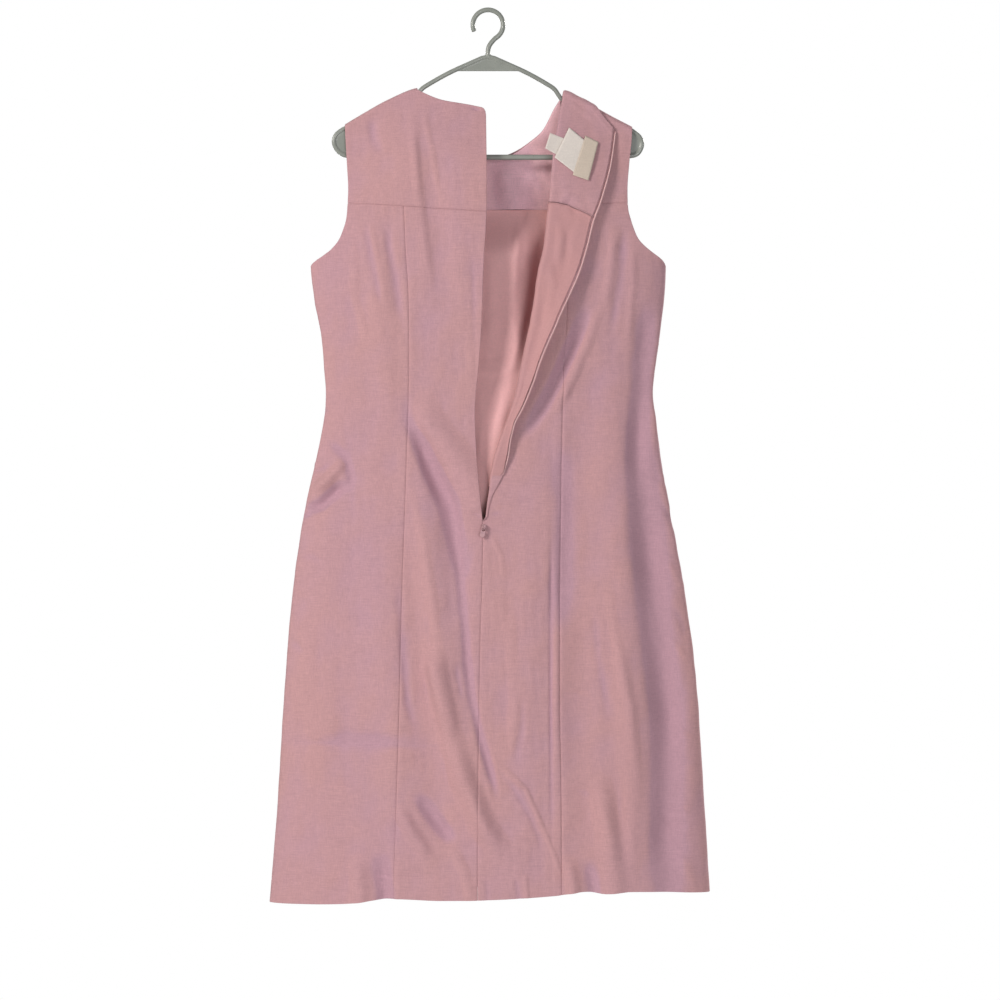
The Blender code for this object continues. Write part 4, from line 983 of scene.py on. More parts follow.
def centre_x(down):
    """The left back's edge at the centre, with its top corner rounded."""
    straight = read(CENTRE_BACK, mix(BACK_NECKLINE[-1][1], float(seam_level(0, BACK)), down))
    return straight - CORNER_ROUND * (1 - np.sqrt(1 - (1 - min(1.0, down / CORNER_DOWN)) ** 2))


def yoke(name, side, sign, neckline, places, right_edge):
    shares, corners = corner_shares(places)
    column = np.arange(len(shares))
    neck = ease((column - corners[0]) / CORNER_COLUMNS)
    for right_corner in corners[1:]:
        neck = neck * ease((right_corner - column) / CORNER_COLUMNS)
    rest_x = mix(places[0], places[-1], shares)
    cut = length_of(read(SHOULDER_CREST, rest_x) - read(neckline, rest_x))
    top = np.where(neck > 0, np.maximum(CREST_GAP, cut), CREST_GAP)
    rows = []
    for down in YOKE_DOWN:
        x = mix(armhole_x(down, -1), right_edge(down), shares)
        bottom = length_at(x, seam_level(x, side) + SEAM_GAP / 2)
        rows.append(surface(x, mix(top, bottom, down), side))
    grid = np.array(rows)
    edges = {**YOKE_EDGES, "top": ("finished", neck[None, :])}
    shell(name, grid, sign, edges, calm_near_crest(outer_relief(grid, side), grid))


# The right back and its turned-out flap

BASE_SHARES = graded(0.09, first=True, last=False)[:-1]
ROLL_SHARES = np.linspace(0, 1, 15)
FLAP_SHARES = np.concatenate([np.linspace(0, 0.9, 22)[1:], [0.925, 0.95, 0.965, 0.978, 0.988, 0.995, 1.0]])
UNROLL_LEVEL = -0.6540


def flap_row(fold_length, fold_level):
    roll, drop, lift = (float(read(FLAP, fold_level, column)) for column in (1, 2, 3))
    fold_x = float(read(FOLD_LINE, fold_level)) + roll
    zip_x = max(float(read(ZIP_EDGE, fold_level - drop)), fold_x + FLAP_LEAST_WIDTH)
    return fold_x, float(fold_length), fold_level, roll, drop, lift, zip_x


def off_crest(x, length):
    """The way off the back for the flap: out of the cloth, and straight back over the shoulder's crest."""
    normal = outward(x, length, BACK)
    lower = ease(np.asarray(length) / 0.014)[..., None]
    return unit(mix(np.array([0.0, -1.0, 0.0]), normal, lower))


def flap_shape(shares, level):
    """How the drop is spread across the flap: along the shoulder at the top, late at the yoke's seam."""
    along_shoulder = np.interp(shares, (0, 0.50, 0.56, 0.62, 1), (0, 0.318, 0.365, 0.43, 1))
    return mix(shares ** FLAP_DROP_POWER, along_shoulder, float(ease((level + 0.150) / 0.046)))


def roll_points(row):
    """The cloth round the fold and straight on from it, unrolled into the closed seam at the zip's end."""
    fold_x, length, level, roll, _, _, zip_x = row
    unrolled = float(ease((UNROLL_LEVEL - level) / (UNROLL_LEVEL - ZIP_END_LEVEL)))
    flat_x = float(read(CENTRE_BACK, level)) + SEAM_GAP / 2 + math.pi * roll + FLAP_LEAST_WIDTH
    start_x = mix(fold_x, flat_x, unrolled)
    start, normal = surface(start_x, length, BACK), off_crest(start_x, length)
    ahead = surface(start_x - 0.0005, length, BACK) - start
    ahead = unit(ahead - normal * ahead.dot(normal))
    most = math.pi * max(1 - unrolled, 0.02)
    reach = roll * math.pi / most
    angles = (ROLL_SHARES * most)[:, None]
    points = start + normal * reach * (1 - np.cos(angles)) + ahead * reach * np.sin(angles)
    out = normal * math.sin(most) + ahead * math.cos(most)
    return points, unrolled, points[-1] + FLAP_SHARES[:, None] * (zip_x - fold_x) * out


def turned_points(row):
    """The flap from its fold to the zip's edge, laid over the back."""
    fold_x, _, fold_level, roll, drop, lift, zip_x = row
    rolled, unrolled, straight = roll_points(row)
    x = mix(fold_x, zip_x, FLAP_SHARES)
    level = fold_level - drop * flap_shape(FLAP_SHARES, fold_level)
    length = np.maximum(CREST_GAP, length_at(x, level))
    step = 2 * roll + lift * FLAP_SHARES ** 2
    laid = surface(x, length, BACK) + off_crest(x, length) * step[:, None]
    return np.concatenate([rolled, mix(laid, straight, float(ease(unrolled / 0.15)))])


def yoke_flap_row(down):
    fold_x = float(read(FOLD_LINE, mix(RIGHT_NECK[1], YOKE_LEVEL, down)))
    full = float(length_at(fold_x, seam_level(fold_x, BACK) + SEAM_GAP / 2))
    fold_length = mix(CREST_GAP, full, down)
    return flap_row(fold_length, float(read(SHOULDER_CREST, fold_x) - drop_of(fold_length)))


def panel_flap_row(level):
    fold_x = float(read(FOLD_LINE, level))
    bent = below_seam(level, float(bent_level(fold_x, level, BACK)))
    return flap_row(length_at(fold_x, bent), bent)


def split_relief(grid, base):
    """The back's creases on the base cloth, the flap's own beyond the roll, and little on the roll itself."""
    x, level = grid[..., 0], grid[..., 2]
    flap = -crease_relief(x, level, FLAP_FOLDS) + cloth_grain(x, level, 31, 0.00010)
    column = np.arange(grid.shape[1])[None, :]
    on_base = ease((len(BASE_SHARES) - column) / 5.0)
    on_flap = ease((column - len(BASE_SHARES) - len(ROLL_SHARES)) / 4.0)
    return base * on_base + flap * on_flap


def right_yoke():
    rows = []
    for down in YOKE_DOWN:
        turned = yoke_flap_row(down)
        x = mix(armhole_x(down, 1), turned[0], BASE_SHARES)
        bottom = length_at(x, seam_level(x, BACK) + SEAM_GAP / 2)
        rows.append(np.concatenate([surface(x, mix(CREST_GAP, bottom, down), BACK), turned_points(turned)]))
    grid = np.array(rows)
    past_base = ease((np.arange(grid.shape[1]) - len(BASE_SHARES)) / 4.0)[None, :]
    edges = {**YOKE_EDGES, "right": "raw", "top": ("finished", past_base)}
    relief = split_relief(grid, calm_near_crest(outer_relief(grid, BACK), grid))
    shell("back_yoke_right_cloth", grid, -1, edges, relief)


def right_centre():
    """Base, roll and flap above the zip's end, and one flat panel below it, in the same columns."""
    turned_columns = len(ROLL_SHARES) + len(FLAP_SHARES)
    crowded = np.concatenate([BASE_SHARES * 0.96, np.linspace(0.96, 1, turned_columns + 1)[1:]])
    tail = 1 - np.array(EDGE_PLACES)[::-1] / 0.10
    even = np.concatenate([np.linspace(0, tail[0], len(crowded) - len(tail) + 1)[:-1], tail])
    levels = panel_levels([ZIP_END_LEVEL, ZIP_END_LEVEL + 0.0008, ZIP_END_LEVEL - 0.0008])
    rows = []
    for level in levels:
        seam_x = float(read(RIGHT_PRINCESS, level)) - SEAM_GAP / 2
        if level > ZIP_END_LEVEL:
            turned = panel_flap_row(level)
            base = row_points(mix(seam_x, turned[0], BASE_SHARES), level, BACK)
            rows.append(np.concatenate([base, turned_points(turned)]))
        else:
            end_x = float(read(CENTRE_BACK, level)) + SEAM_GAP / 2
            flat = float(ease((ZIP_END_LEVEL - level) / 0.060))
            rows.append(row_points(mix(seam_x, end_x, mix(crowded, even, flat)), level, BACK))
    grid = np.array(rows)
    below = (grid[:, :1, 2] < ZIP_END_LEVEL + 0.002) * 1.0
    base_relief = outer_relief(grid, BACK)
    relief = np.where(below > 0, base_relief, split_relief(grid, base_relief))
    past_zip_end = ease(np.abs(levels - ZIP_END_LEVEL) / 0.012)[:, None]
    relief = relief * np.maximum(past_zip_end, ease((grid[..., 0] - 0.006) / 0.030))
    shell("back_centre_right_cloth", grid, -1, {**PANEL_EDGES, "right": ("seam", below)}, relief)


# The other panels

PANEL_EDGES = {"left": "seam", "right": "seam", "top": "seam", "bottom": "hem"}


def panel_grid(left, right, levels, shares, side):
    """Rows between two seam lines."""
    rows = []
    for level in levels:
        left_x, right_x = read(left, level) + SEAM_GAP / 2, read(right, level) - SEAM_GAP / 2
        rows.append(row_points(mix(left_x, right_x, shares), level, side))
    return np.array(rows)


def left_centre():
    levels = panel_levels([ZIP_END_LEVEL])
    grid = panel_grid(LEFT_PRINCESS, CENTRE_BACK, levels, graded(BACK_CENTRE_WIDTH), BACK)
    unzipped = ease((levels - ZIP_END_LEVEL) / 0.004)[:, None]
    right = [("seam", 1 - unzipped), ("finished", unzipped)]
    shell("back_centre_left_cloth", grid, 1, {**PANEL_EDGES, "right": right}, outer_relief(grid, BACK))


def front_centre():
    grid = panel_grid(LEFT_PRINCESS, RIGHT_PRINCESS, panel_levels(), graded(FRONT_CENTRE_WIDTH), FRONT)
    shell("front_centre_cloth", grid, -1, PANEL_EDGES, outer_relief(grid, FRONT))


def side_shares():
    """Shares of the angle from the side seam to the princess seam, by the length of cloth that they span."""
    angles = np.linspace(0, 1.07, 400)
    steps = np.hypot(np.diff(0.225 * np.cos(angles)), np.diff(0.030 * np.sin(angles)))
    arc = np.concatenate([[0], np.cumsum(steps)])
    return np.interp(graded(arc[-1]) * arc[-1], arc, angles) / angles[-1]


def side_panel(name, side, sign):
    armhole, princess = (LEFT_ARMHOLE, LEFT_PRINCESS) if sign < 0 else (RIGHT_ARMHOLE, RIGHT_PRINCESS)
    shares = side_shares()
    levels = panel_levels(np.concatenate([np.linspace(-0.300, -0.3290, 17), [UNDERARM_LEVEL]]))
    rows = []
    for level in levels:
        widest = float(half_width(sign, level))
        princess_x = abs(float(read(princess, level))) + SEAM_GAP / 2
        last = math.acos(min(1.0, princess_x / widest))
        first = CREST_GAP / float(read(SECTIONS, level, 3 + side))
        if level > UNDERARM_LEVEL:
            first = max(first, math.acos(min(1.0, abs(float(read(armhole, level))) / widest)))
        turn = np.cos(mix(first, last, shares))
        bent = bent_level(sign * widest * turn, level, side)
        rows.append(row_points(sign * half_width(sign * turn, bent) * turn, level, side))
    grid = np.array(rows)
    above_underarm = ease((levels - UNDERARM_LEVEL) / 0.003)[:, None]
    outer_edge = [("seam", 1 - above_underarm), ("finished", above_underarm)]
    turned = 1 if (side == BACK) == (sign < 0) else -1
    relief = outer_relief(grid, side) * ease(np.abs(normals_of(grid, turned)[..., 1]) / 0.6)
    shell(name, grid, turned, {**PANEL_EDGES, "left": outer_edge}, relief)


yoke("back_yoke_left_cloth", BACK, 1, BACK_NECKLINE, (LEFT_TIP[0], LEFT_NECK[0], BACK_NECKLINE[-1][0]),
     centre_x)
right_yoke()
yoke("front_yoke_cloth", FRONT, -1, FRONT_NECKLINE, (LEFT_TIP[0], LEFT_NECK[0], RIGHT_NECK[0], RIGHT_TIP[0]),
     lambda down: armhole_x(down, 1))
left_centre()
right_centre()
front_centre()
for side_name, side in (("back", BACK), ("front", FRONT)):
    for end_name, sign in (("left", -1), ("right", 1)):
        side_panel(f"{side_name}_side_{end_name}_cloth", side, sign)


# Inside pieces: they follow the outer cloth's folds and hang a little looser, always to its inside

def inner_piece(name, grid, folds, loose, edges, material, seed, slack=0.0):
    """A piece inside the front, sunk below it by its own folds and slack."""
    x, level = grid[..., 0], grid[..., 2]
    own = crease_relief(x, level, folds) + cloth_grain(x, level, seed, 0.00022)
    relief = calm_near_crest(outer_relief(grid, FRONT), grid) - np.maximum(0.0, loose + own) - slack
    sunk = grid + normals_of(grid, -1) * -FACING_STEP
    shell(name, sunk, -1, edges, relief, LINING_WALL, material)


def front_facing():
    shares = graded(FACING_RIGHT - FACING_LEFT, 0.0025)
    rows = []
    for down in np.concatenate([np.linspace(0, 0.1, 8)[:-1], 0.1 + 0.9 * graded(0.055, 0.0024, first=False)]):
        x = mix(FACING_LEFT, FACING_RIGHT, shares)
        top = length_of(read(SHOULDER_CREST, x) - read(FRONT_NECKLINE, x)) + 0.0011
        bottom = length_at(x, seam_level(x, FRONT) + SEAM_GAP / 2)
        rows.append(surface(x, mix(top, bottom, down), FRONT))
    edges = {"top": "raw", "bottom": "seam"}
    inner_piece("front_facing_cloth", np.array(rows), FACING_FOLDS, 0.0004, edges, "facing_painted_light", 41)


def front_lining():
    levels = [level for level in panel_levels() if level >= LINING_END]
    grid = panel_grid(LEFT_PRINCESS, RIGHT_PRINCESS, levels, graded(FRONT_CENTRE_WIDTH), FRONT)
    x, level = grid[..., 0], grid[..., 2]
    right_end = read(FOLD_LINE, level) + read(BELLY, level, 2)
    slack = read(BELLY, level) * ease((x + 0.095) / 0.060) * ease((right_end - x) / 0.056)
    slack = slack * ease((-0.256 - level) / 0.060)
    edges = {"top": "seam", "bottom": "raw"}
    inner_piece("front_lining_cloth", grid, LINING_FOLDS, 0.0012, edges, "lining_painted_light", 43, slack)


def flap_cover(name, source, rows, end_column, edges, material, seed, narrow_to=None):
    """A facing or lining on the turned-out flap, laid on the panel's own points."""
    grid, normals = GRIDS[source]
    laid = (grid - normals * FACING_STEP)[rows, len(BASE_SHARES) + 3:end_column]
    if narrow_to is not None:
        narrow = ease((laid[:, :1, 2] - narrow_to) / 0.0250)[..., None]
        laid = mix(laid[:, :1], laid, 0.12 + 0.88 * narrow)
    own = cloth_grain(laid[..., 0], laid[..., 2], seed, 0.00016) + 0.00025
    shell(name, laid, -1, edges, -np.maximum(0.0, own), LINING_WALL, material)


front_facing()
front_lining()
flap_cover("back_facing_right_cloth", "back_yoke_right_cloth", slice(1, None), -3,
           {"right": "raw", "top": "finished", "bottom": "seam"}, "facing", 47)
lined = int((GRIDS["back_centre_right_cloth"][0][:, len(BASE_SHARES) + 20, 2] > FLAP_LINING_END).sum())
flap_cover("back_lining_right_cloth", "back_centre_right_cloth", slice(0, lined), -4,
           {"right": "raw", "top": "seam", "bottom": "raw"}, "lining", 49, FLAP_LINING_END)


# Tubes, for the zip's coil, threads and the hanger's wire

def tube(points, radius, sides):
    """Points and faces of a round tube along a path; the radius is one value or one for each point."""
    points = np.asarray(points, float)
    radius = np.broadcast_to(radius, len(points))
    ahead = unit(np.gradient(points, axis=0))
    side = np.zeros_like(points)
    guide = np.array([0.0, 1.0, 0.0]) if abs(ahead[0][1]) < 0.8 else np.array([1.0, 0.0, 0.0])
    side[0] = unit(np.cross(ahead[0], guide))
    for place in range(1, len(points)):
        side[place] = unit(side[place - 1] - ahead[place] * side[place - 1].dot(ahead[place]))
    up = np.cross(ahead, side)
    angles = (np.arange(sides) * 2 * math.pi / sides)[None, :, None]
    rings = points[:, None] + radius[:, None, None] * (
        np.cos(angles) * side[:, None] + np.sin(angles) * up[:, None])
    index = np.arange(len(points) * sides).reshape(len(points), sides)
    turned = np.roll(index, -1, axis=1)
    faces = np.stack([index[:-1], turned[:-1], turned[1:], index[1:]], axis=-1).reshape(-1, 4).tolist()
    return rings.reshape(-1, 3), faces + [index[0][::-1].tolist(), index[-1].tolist()]


def mesh_part(mesh):
    """A mesh's points and faces."""
    points = np.empty(len(mesh.vertices) * 3)
    mesh.vertices.foreach_get("co", points)
    return points.reshape(-1, 3), [list(face.vertices) for face in mesh.polygons]


def gather(parts):
    """Several sets of points and faces as one."""
    points, faces, base = [], [], 0
    for part_points, part_faces in parts:
        points.append(part_points)
        faces += [[base + place for place in face] for face in part_faces]
        base += len(part_points)
    return np.concatenate(points), faces


def even_path(points, step):
    arc = np.concatenate([[0], np.cumsum(np.linalg.norm(np.diff(points, axis=0), axis=1))])
    places = np.linspace(0, arc[-1], max(2, int(round(arc[-1] / step)) + 1))
    return np.stack([np.interp(places, arc, points[:, axis]) for axis in range(3)], axis=1)


# Zip tapes and coils

TAPE_WALL = 0.0005
RAW_SIDES = {"left": "raw", "right": "raw"}
RIGHT_TAPE_END = -0.6040
LEFT_TAPE_TOP, LEFT_TAPE_END, LEFT_TAPE_ROWS = -0.1290, -0.6600, 190
# How far the left tape's columns lie inside the back's edge, and how far it lies behind the back
LEFT_TAPE_COLUMNS, LEFT_TAPE_DEPTH = (0.0090, 0.0060, 0.0030, 0.0010, 0.0), 0.0018
# Places across the right tape: beyond the flap's edge, and towards the viewer
RIGHT_TAPE_COLUMNS = (
    (0.0005, 0.0000), (0.0011, 0.0004), (0.0018, 0.0006), (0.0026, 0.0006), (0.0034, 0.0005))


def coil(name, path, radius=0.00075, pitch=0.0010):
    """The zip's spiral along a tape's edge, as close round ribs that sink away at the end."""
    fine = even_path(path, pitch / 6)
    places = np.arange(len(fine)) * 2 * math.pi / 6
    thin = 0.35 + 0.65 * ease((fine[:, 2] - fine[-1, 2]) / 0.030)
    add_mesh(name, *tube(fine, radius * thin * (0.80 + 0.20 * np.cos(places)), 7), "coil")


def right_tape():
    """The tape and the coil just beyond the flap's outer edge, from the yoke down."""
    yoke_grid, yoke_normals = GRIDS["back_yoke_right_cloth"]
    panel, panel_normals = GRIDS["back_centre_right_cloth"]
    in_yoke = slice(int(np.searchsorted(YOKE_DOWN, 0.030)), -2)
    in_panel = slice(2, int((panel[:, -1, 2] > RIGHT_TAPE_END).sum()))
    edge = np.concatenate([yoke_grid[in_yoke, -1], panel[in_panel, -1]])
    before = np.concatenate([yoke_grid[in_yoke, -6], panel[in_panel, -6]])
    to_viewer = -np.concatenate([yoke_normals[in_yoke, -4], panel_normals[in_panel, -4]])
    beyond = unit(edge - before) * (0.1 + 0.9 * ease((edge[:, 2] + 0.6060) / 0.0300)[:, None])
    grid = np.stack([edge + beyond * far + to_viewer * near for far, near in RIGHT_TAPE_COLUMNS], axis=1)
    shell("zip_tape_right_cloth", grid, 1, RAW_SIDES, None, TAPE_WALL, "tape")
    coil("zip_coil_right", (edge + beyond * 0.0020 + to_viewer * 0.0013)[4:])


def left_tape():
    """The tape and the coil behind the left back's edge."""
    rows = []
    for level in np.linspace(LEFT_TAPE_TOP, LEFT_TAPE_END, LEFT_TAPE_ROWS):
        x = float(read(CENTRE_BACK, level)) - 0.0006 - np.array(LEFT_TAPE_COLUMNS)
        rows.append(surface(x, length_at(x, level), BACK))
    grid = np.array(rows)
    sunk = grid - normals_of(grid, 1) * LEFT_TAPE_DEPTH
    relief = calm_near_crest(outer_relief(grid, BACK), grid)
    shell("zip_tape_left_cloth", sunk, 1, RAW_SIDES, relief, TAPE_WALL, "tape")
    final, normals = GRIDS["zip_tape_left_cloth"]
    coil("zip_coil_left", final[2:-2, 3] - normals[2:-2, 3] * 0.0010)


right_tape()
left_tape()


# Labels, laid on the facing, with lifted corners; all are bare

LABEL_WALL = 0.0004
# The stretch of facing that the labels lie on: its right end, top, bottom and middle
LABELS_RIGHT, LABELS_TOP, LABELS_BOTTOM, LABELS_X, LABELS_LEVEL = 0.148, -0.148, -0.232, 0.112, -0.190


def depth_terms(across, down):
    across, down = (across - LABELS_X) * 50, (down - LABELS_LEVEL) * 50
    one = np.ones_like(across)
    return np.stack([one, across, down, across * across, across * down, down * down], axis=-1)


def facing_depth(x, level):
    """How far towards the viewer the flap's facing lies: a smooth sheet through its points and past them."""
    cloud = GRIDS["back_facing_right_cloth"][0][:, 16:].reshape(-1, 3)
    in_height = (cloud[:, 2] < LABELS_TOP) & (cloud[:, 2] > LABELS_BOTTOM)
    cloud = cloud[(cloud[:, 0] < LABELS_RIGHT) & in_height]
    factors, *_ = np.linalg.lstsq(depth_terms(cloud[:, 0], cloud[:, 2]), cloud[:, 1], rcond=None)
    in_width = (cloud[:, 0] > x.min()) & (cloud[:, 0] < x.max())
    under = cloud[in_width & (cloud[:, 2] > level.min()) & (cloud[:, 2] < level.max())]
    proud = (depth_terms(under[:, 0], under[:, 2]) @ factors - under[:, 1]).max(initial=0.0)
    return depth_terms(x, level) @ factors - max(0.0, proud) * 0.8


def label(name, material, height, lift, corners):
    down, over = np.meshgrid(np.linspace(0, 1, 25), np.linspace(0, 1, 13), indexing="ij")
    a, b, c, d = (np.array(corner) for corner in corners)
    spot = ((1 - down) * (1 - over))[..., None] * a + ((1 - down) * over)[..., None] * b
    spot = spot + (down * over)[..., None] * c + (down * (1 - over))[..., None] * d
    depth = facing_depth(spot[..., 0], spot[..., 1]) - (lift(down, over) + height)
    grid = np.stack([spot[..., 0], depth, spot[..., 1]], axis=-1)
    shell(name, grid, 1, {**RAW_SIDES, "top": "raw", "bottom": "raw"}, None, LABEL_WALL, material)


def stitches(name, path, length=0.0016, gap=0.0006, radius=0.00016):
    """A row of short threads along a path, each sunk into the cloth at both ends."""
    fine = even_path(path, (length + gap) / 8)
    rise = np.sin(np.linspace(0, math.pi, 7))[:, None] * radius * 1.1 - radius * 0.5
    thick = radius * (0.45 + 0.55 * np.sin(np.linspace(0.25, math.pi - 0.25, 7)))
    threads = []
    for start in range(0, len(fine) - 8, 8):
        threads.append(tube(fine[start:start + 7] + rise * (0, -1, 0), thick, 6))
    add_mesh(name, *gather(threads), "label_beige", slot="outer_cloth")


def label_stitches():
    grid = GRIDS["label_brand_cloth"][0]
    for end, row in enumerate((grid[1], grid[-2])):
        over, columns = np.linspace(0.04, 0.96, 24), np.linspace(0, 1, len(row))
        path = np.stack([np.interp(over, columns, row[:, axis]) for axis in range(3)], axis=1)
        stitches(f"label_stitches_{end}", path + (0, -0.00025, 0))


# Name, material, height above the facing, lift by the shares down and over, and corners clockwise from
# the top left
for row in (
    ("label_size_cloth", "label_white", 0.0006,
     lambda down, over: 0.0016 * (1 - over) ** 2 * (0.4 + 0.6 * down),
     ((0.0802, -0.1603), (0.0990, -0.1675), (0.0930, -0.1915), (0.0738, -0.1813))),
    ("label_care_cloth", "label_white", 0.0014,
     lambda down, over: 0.0026 * down ** 2 * (1 - over) + 0.0006 * np.sin(3 * over),
     ((0.1049, -0.1525), (0.1295, -0.1731), (0.1145, -0.2153), (0.0858, -0.1934))),
    ("label_brand_cloth", "label_beige", 0.0022,
     lambda down, over: 0.0006 * np.sin(math.pi * down),
     ((0.1259, -0.1632), (0.1429, -0.1716), (0.1295, -0.2229), (0.1091, -0.2159))),
):
    label(*row)
label_stitches()


# Slider and pull tab

SLIDER_X, SLIDER_LEVEL = -0.0050, -0.6690
TAB_TILT = math.radians(12)
TO_UPRIGHT = Matrix.Rotation(math.radians(90), 4, "X")
TO_SIDE = Matrix(((0, 0, -1, 0), (-1, 0, 0, 0), (0, 1, 0, 0), (0, 0, 0, 1)))


def plate(outlines, half_thick, bevel):
    """A flat moulded or stamped plate with rounded edges, in its own XY plane."""
    shape = bpy.data.curves.new("plate", "CURVE")
    shape.dimensions = "2D"
    shape.fill_mode = "BOTH"
    shape.extrude = half_thick - bevel
    shape.bevel_depth = bevel
    shape.bevel_resolution = 3
    shape.offset = -bevel
    for outline in outlines:
        spline = shape.splines.new("POLY")
        spline.points.add(len(outline) - 1)
        for place, (x, y) in enumerate(outline):
            spline.points[place].co = (x, y, 0, 1)
        spline.use_cyclic_u = True
    holder = bpy.data.objects.new("plate", shape)
    bpy.context.scene.collection.objects.link(holder)
    bpy.context.view_layer.update()
    mesh = bpy.data.meshes.new_from_object(holder.evaluated_get(bpy.context.evaluated_depsgraph_get()))
    bpy.data.objects.remove(holder)
    return mesh


def rounded(points, radius):
    """An outline with its corners rounded."""
    result = []
    count = len(points)
    for place in range(count):
        before, here, after = (np.array(points[(place + shift) % count], float) for shift in (-1, 0, 1))
        into, out = before - here, after - here
        reach = min(radius, np.linalg.norm(into) / 2.01, np.linalg.norm(out) / 2.01)
        start, end = here + unit(into) * reach, here + unit(out) * reach
        for share in np.linspace(0, 1, 5):
            result.append(tuple((1 - share) ** 2 * start + 2 * share * (1 - share) * here + share ** 2 * end))
    return result


def box_outline(left, right, half):
    return [(left, -half), (right, -half), (right, half), (left, half)]


def teardrop(length, width, bar, steps=28):
    """The pull tab's outline, hanging from its bar at the origin."""
    top, tip = bar / 2, width / 2
    centre = -(length - bar / 2 - tip)
    points = [(-width * 0.30, top), (width * 0.30, top), (width * 0.36, top - 0.0007)]
    for step in range(steps + 1):
        angle = math.radians(12 - step * 204 / steps)
        points.append((tip * math.cos(angle), centre + tip * math.sin(angle)))
    return points + [(-width * 0.36, top - 0.0007)]


def build_tab():
    half, top = 0.0019, -0.00065
    window = rounded([(-half, top), (half, top), (half, top - 0.0036), (0.0007, top - 0.0046),
                      (-0.0007, top - 0.0046), (-half, top - 0.0036)], 0.0006)
    mesh = plate([teardrop(0.0140, 0.0070, 0.0013), window], 0.0006, 0.00032)
    low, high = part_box("zip_pull_tab")
    middle = Matrix.Translation((SLIDER_X, (low.y + high.y) / 2, SLIDER_LEVEL))
    mesh.transform(middle @ Matrix.Rotation(TAB_TILT, 4, "Y") @ TO_UPRIGHT)
    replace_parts(add_piece("zip_pull_tab_metal", mesh, "metal", body="zip_pull"), "zip_pull_tab")


def build_slider():
    """Two plates with a post between them, and the bridge that the tab swings on."""
    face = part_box("zip_slider")[1].y - 0.0022
    body = rounded([(-0.0033, 0.0026), (-0.0019, 0.0040), (0.0019, 0.0040), (0.0033, 0.0026),
                    (0.0026, -0.0034), (0.0020, -0.0040), (-0.0020, -0.0040), (-0.0026, -0.0034)], 0.0009)
    post = rounded([(-0.0010, 0.0036), (0.0010, 0.0036), (0.0014, 0.0006), (-0.0014, 0.0006)], 0.0004)
    reach, half, bar = 0.0038, 0.0034, 0.0011
    frame_outline = rounded(box_outline(-0.0004, reach, half), 0.0011)
    window = rounded(box_outline(-0.0003, reach - 0.0010, half - bar), 0.0006)
    parts = []
    for outlines, half_thick, bevel, depth, turn in (
        ([body], 0.00036, 0.00026, 0.00036, TO_UPRIGHT),
        ([body], 0.00036, 0.00026, 0.00184, TO_UPRIGHT),
        ([post], 0.0009, 0.0002, 0.0011, TO_UPRIGHT),
        ([frame_outline, window], 0.0008, 0.0003, 0.0, TO_SIDE),
    ):
        mesh = plate(outlines, half_thick, bevel)
        mesh.transform(Matrix.Translation((SLIDER_X, face + depth, SLIDER_LEVEL)) @ turn)
        parts.append(mesh_part(mesh))
    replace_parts(add_mesh("zip_slider_metal", *gather(parts), "metal"), "zip_slider")


build_tab()
build_slider()


# Hanger: rim, bar, gusset, end webs and hook, melted together as one moulding

ARM_RADIUS, BAR_LEVEL, APEX_LEVEL = 0.0030, -0.1885, -0.0560
END_X, NOTCH_X, NOTCH_LEVEL = 0.2005, 0.0988, -0.1140
ARM_CONTACT = CLOTH / 2 + 0.0009
HOOK_CROWN, HOOK_WIRE = 0.0165, 0.0032
VOXEL = 0.00075
# Where the end webs start in an arm's points
WEB_START = 13


def arm_points(sign):
    """Half of the rim, from the apex over the shoulder and round the end to the bar."""
    tip_x = abs((RIGHT_TIP if sign > 0 else LEFT_TIP)[0])
    before = NOTCH_LEVEL + 0.0175
    points = [
        (0.0220, mix(APEX_LEVEL, before, 0.24)), (0.0520, mix(APEX_LEVEL, before, 0.57)),
        (NOTCH_X - 0.0165, before), (NOTCH_X - 0.0110, before - 0.0048),
        (NOTCH_X - 0.0070, NOTCH_LEVEL + 0.0060), (NOTCH_X - 0.0035, NOTCH_LEVEL + 0.0012),
        (NOTCH_X, NOTCH_LEVEL), (NOTCH_X + 0.0060, NOTCH_LEVEL - 0.0008),
    ]
    for share in (0.22, 0.38, 0.54, 0.72, 0.88, 1.0):
        x = mix(NOTCH_X, tip_x, share)
        points.append((x, float(read(SHOULDER_CREST, sign * x)) - ARM_CONTACT - ARM_RADIUS))
    tip_level = points[-1][1]
    points += [
        (END_X - 0.0090, tip_level - 0.0032), (END_X - 0.0035, tip_level - 0.0075),
        (END_X, tip_level - 0.0140), (END_X - 0.0006, tip_level - 0.0220),
        (END_X - 0.0060, tip_level - 0.0310), (END_X - 0.0160, BAR_LEVEL + 0.0012),
    ]
    return [(sign * x, level) for x, level in points]


def smoothed(points, closed=False):
    """Points with more between them and the corners softened."""
    points = np.asarray(points, float)
    for _ in range(2):
        after = np.roll(points, -1, axis=0)
        cut = np.stack([mix(points, after, 0.25), mix(points, after, 0.75)], axis=1)
        if closed:
            points = cut.reshape(-1, 3)
        else:
            points = np.concatenate([points[:1], cut[:-1].reshape(-1, 3), points[-1:]])
    return points


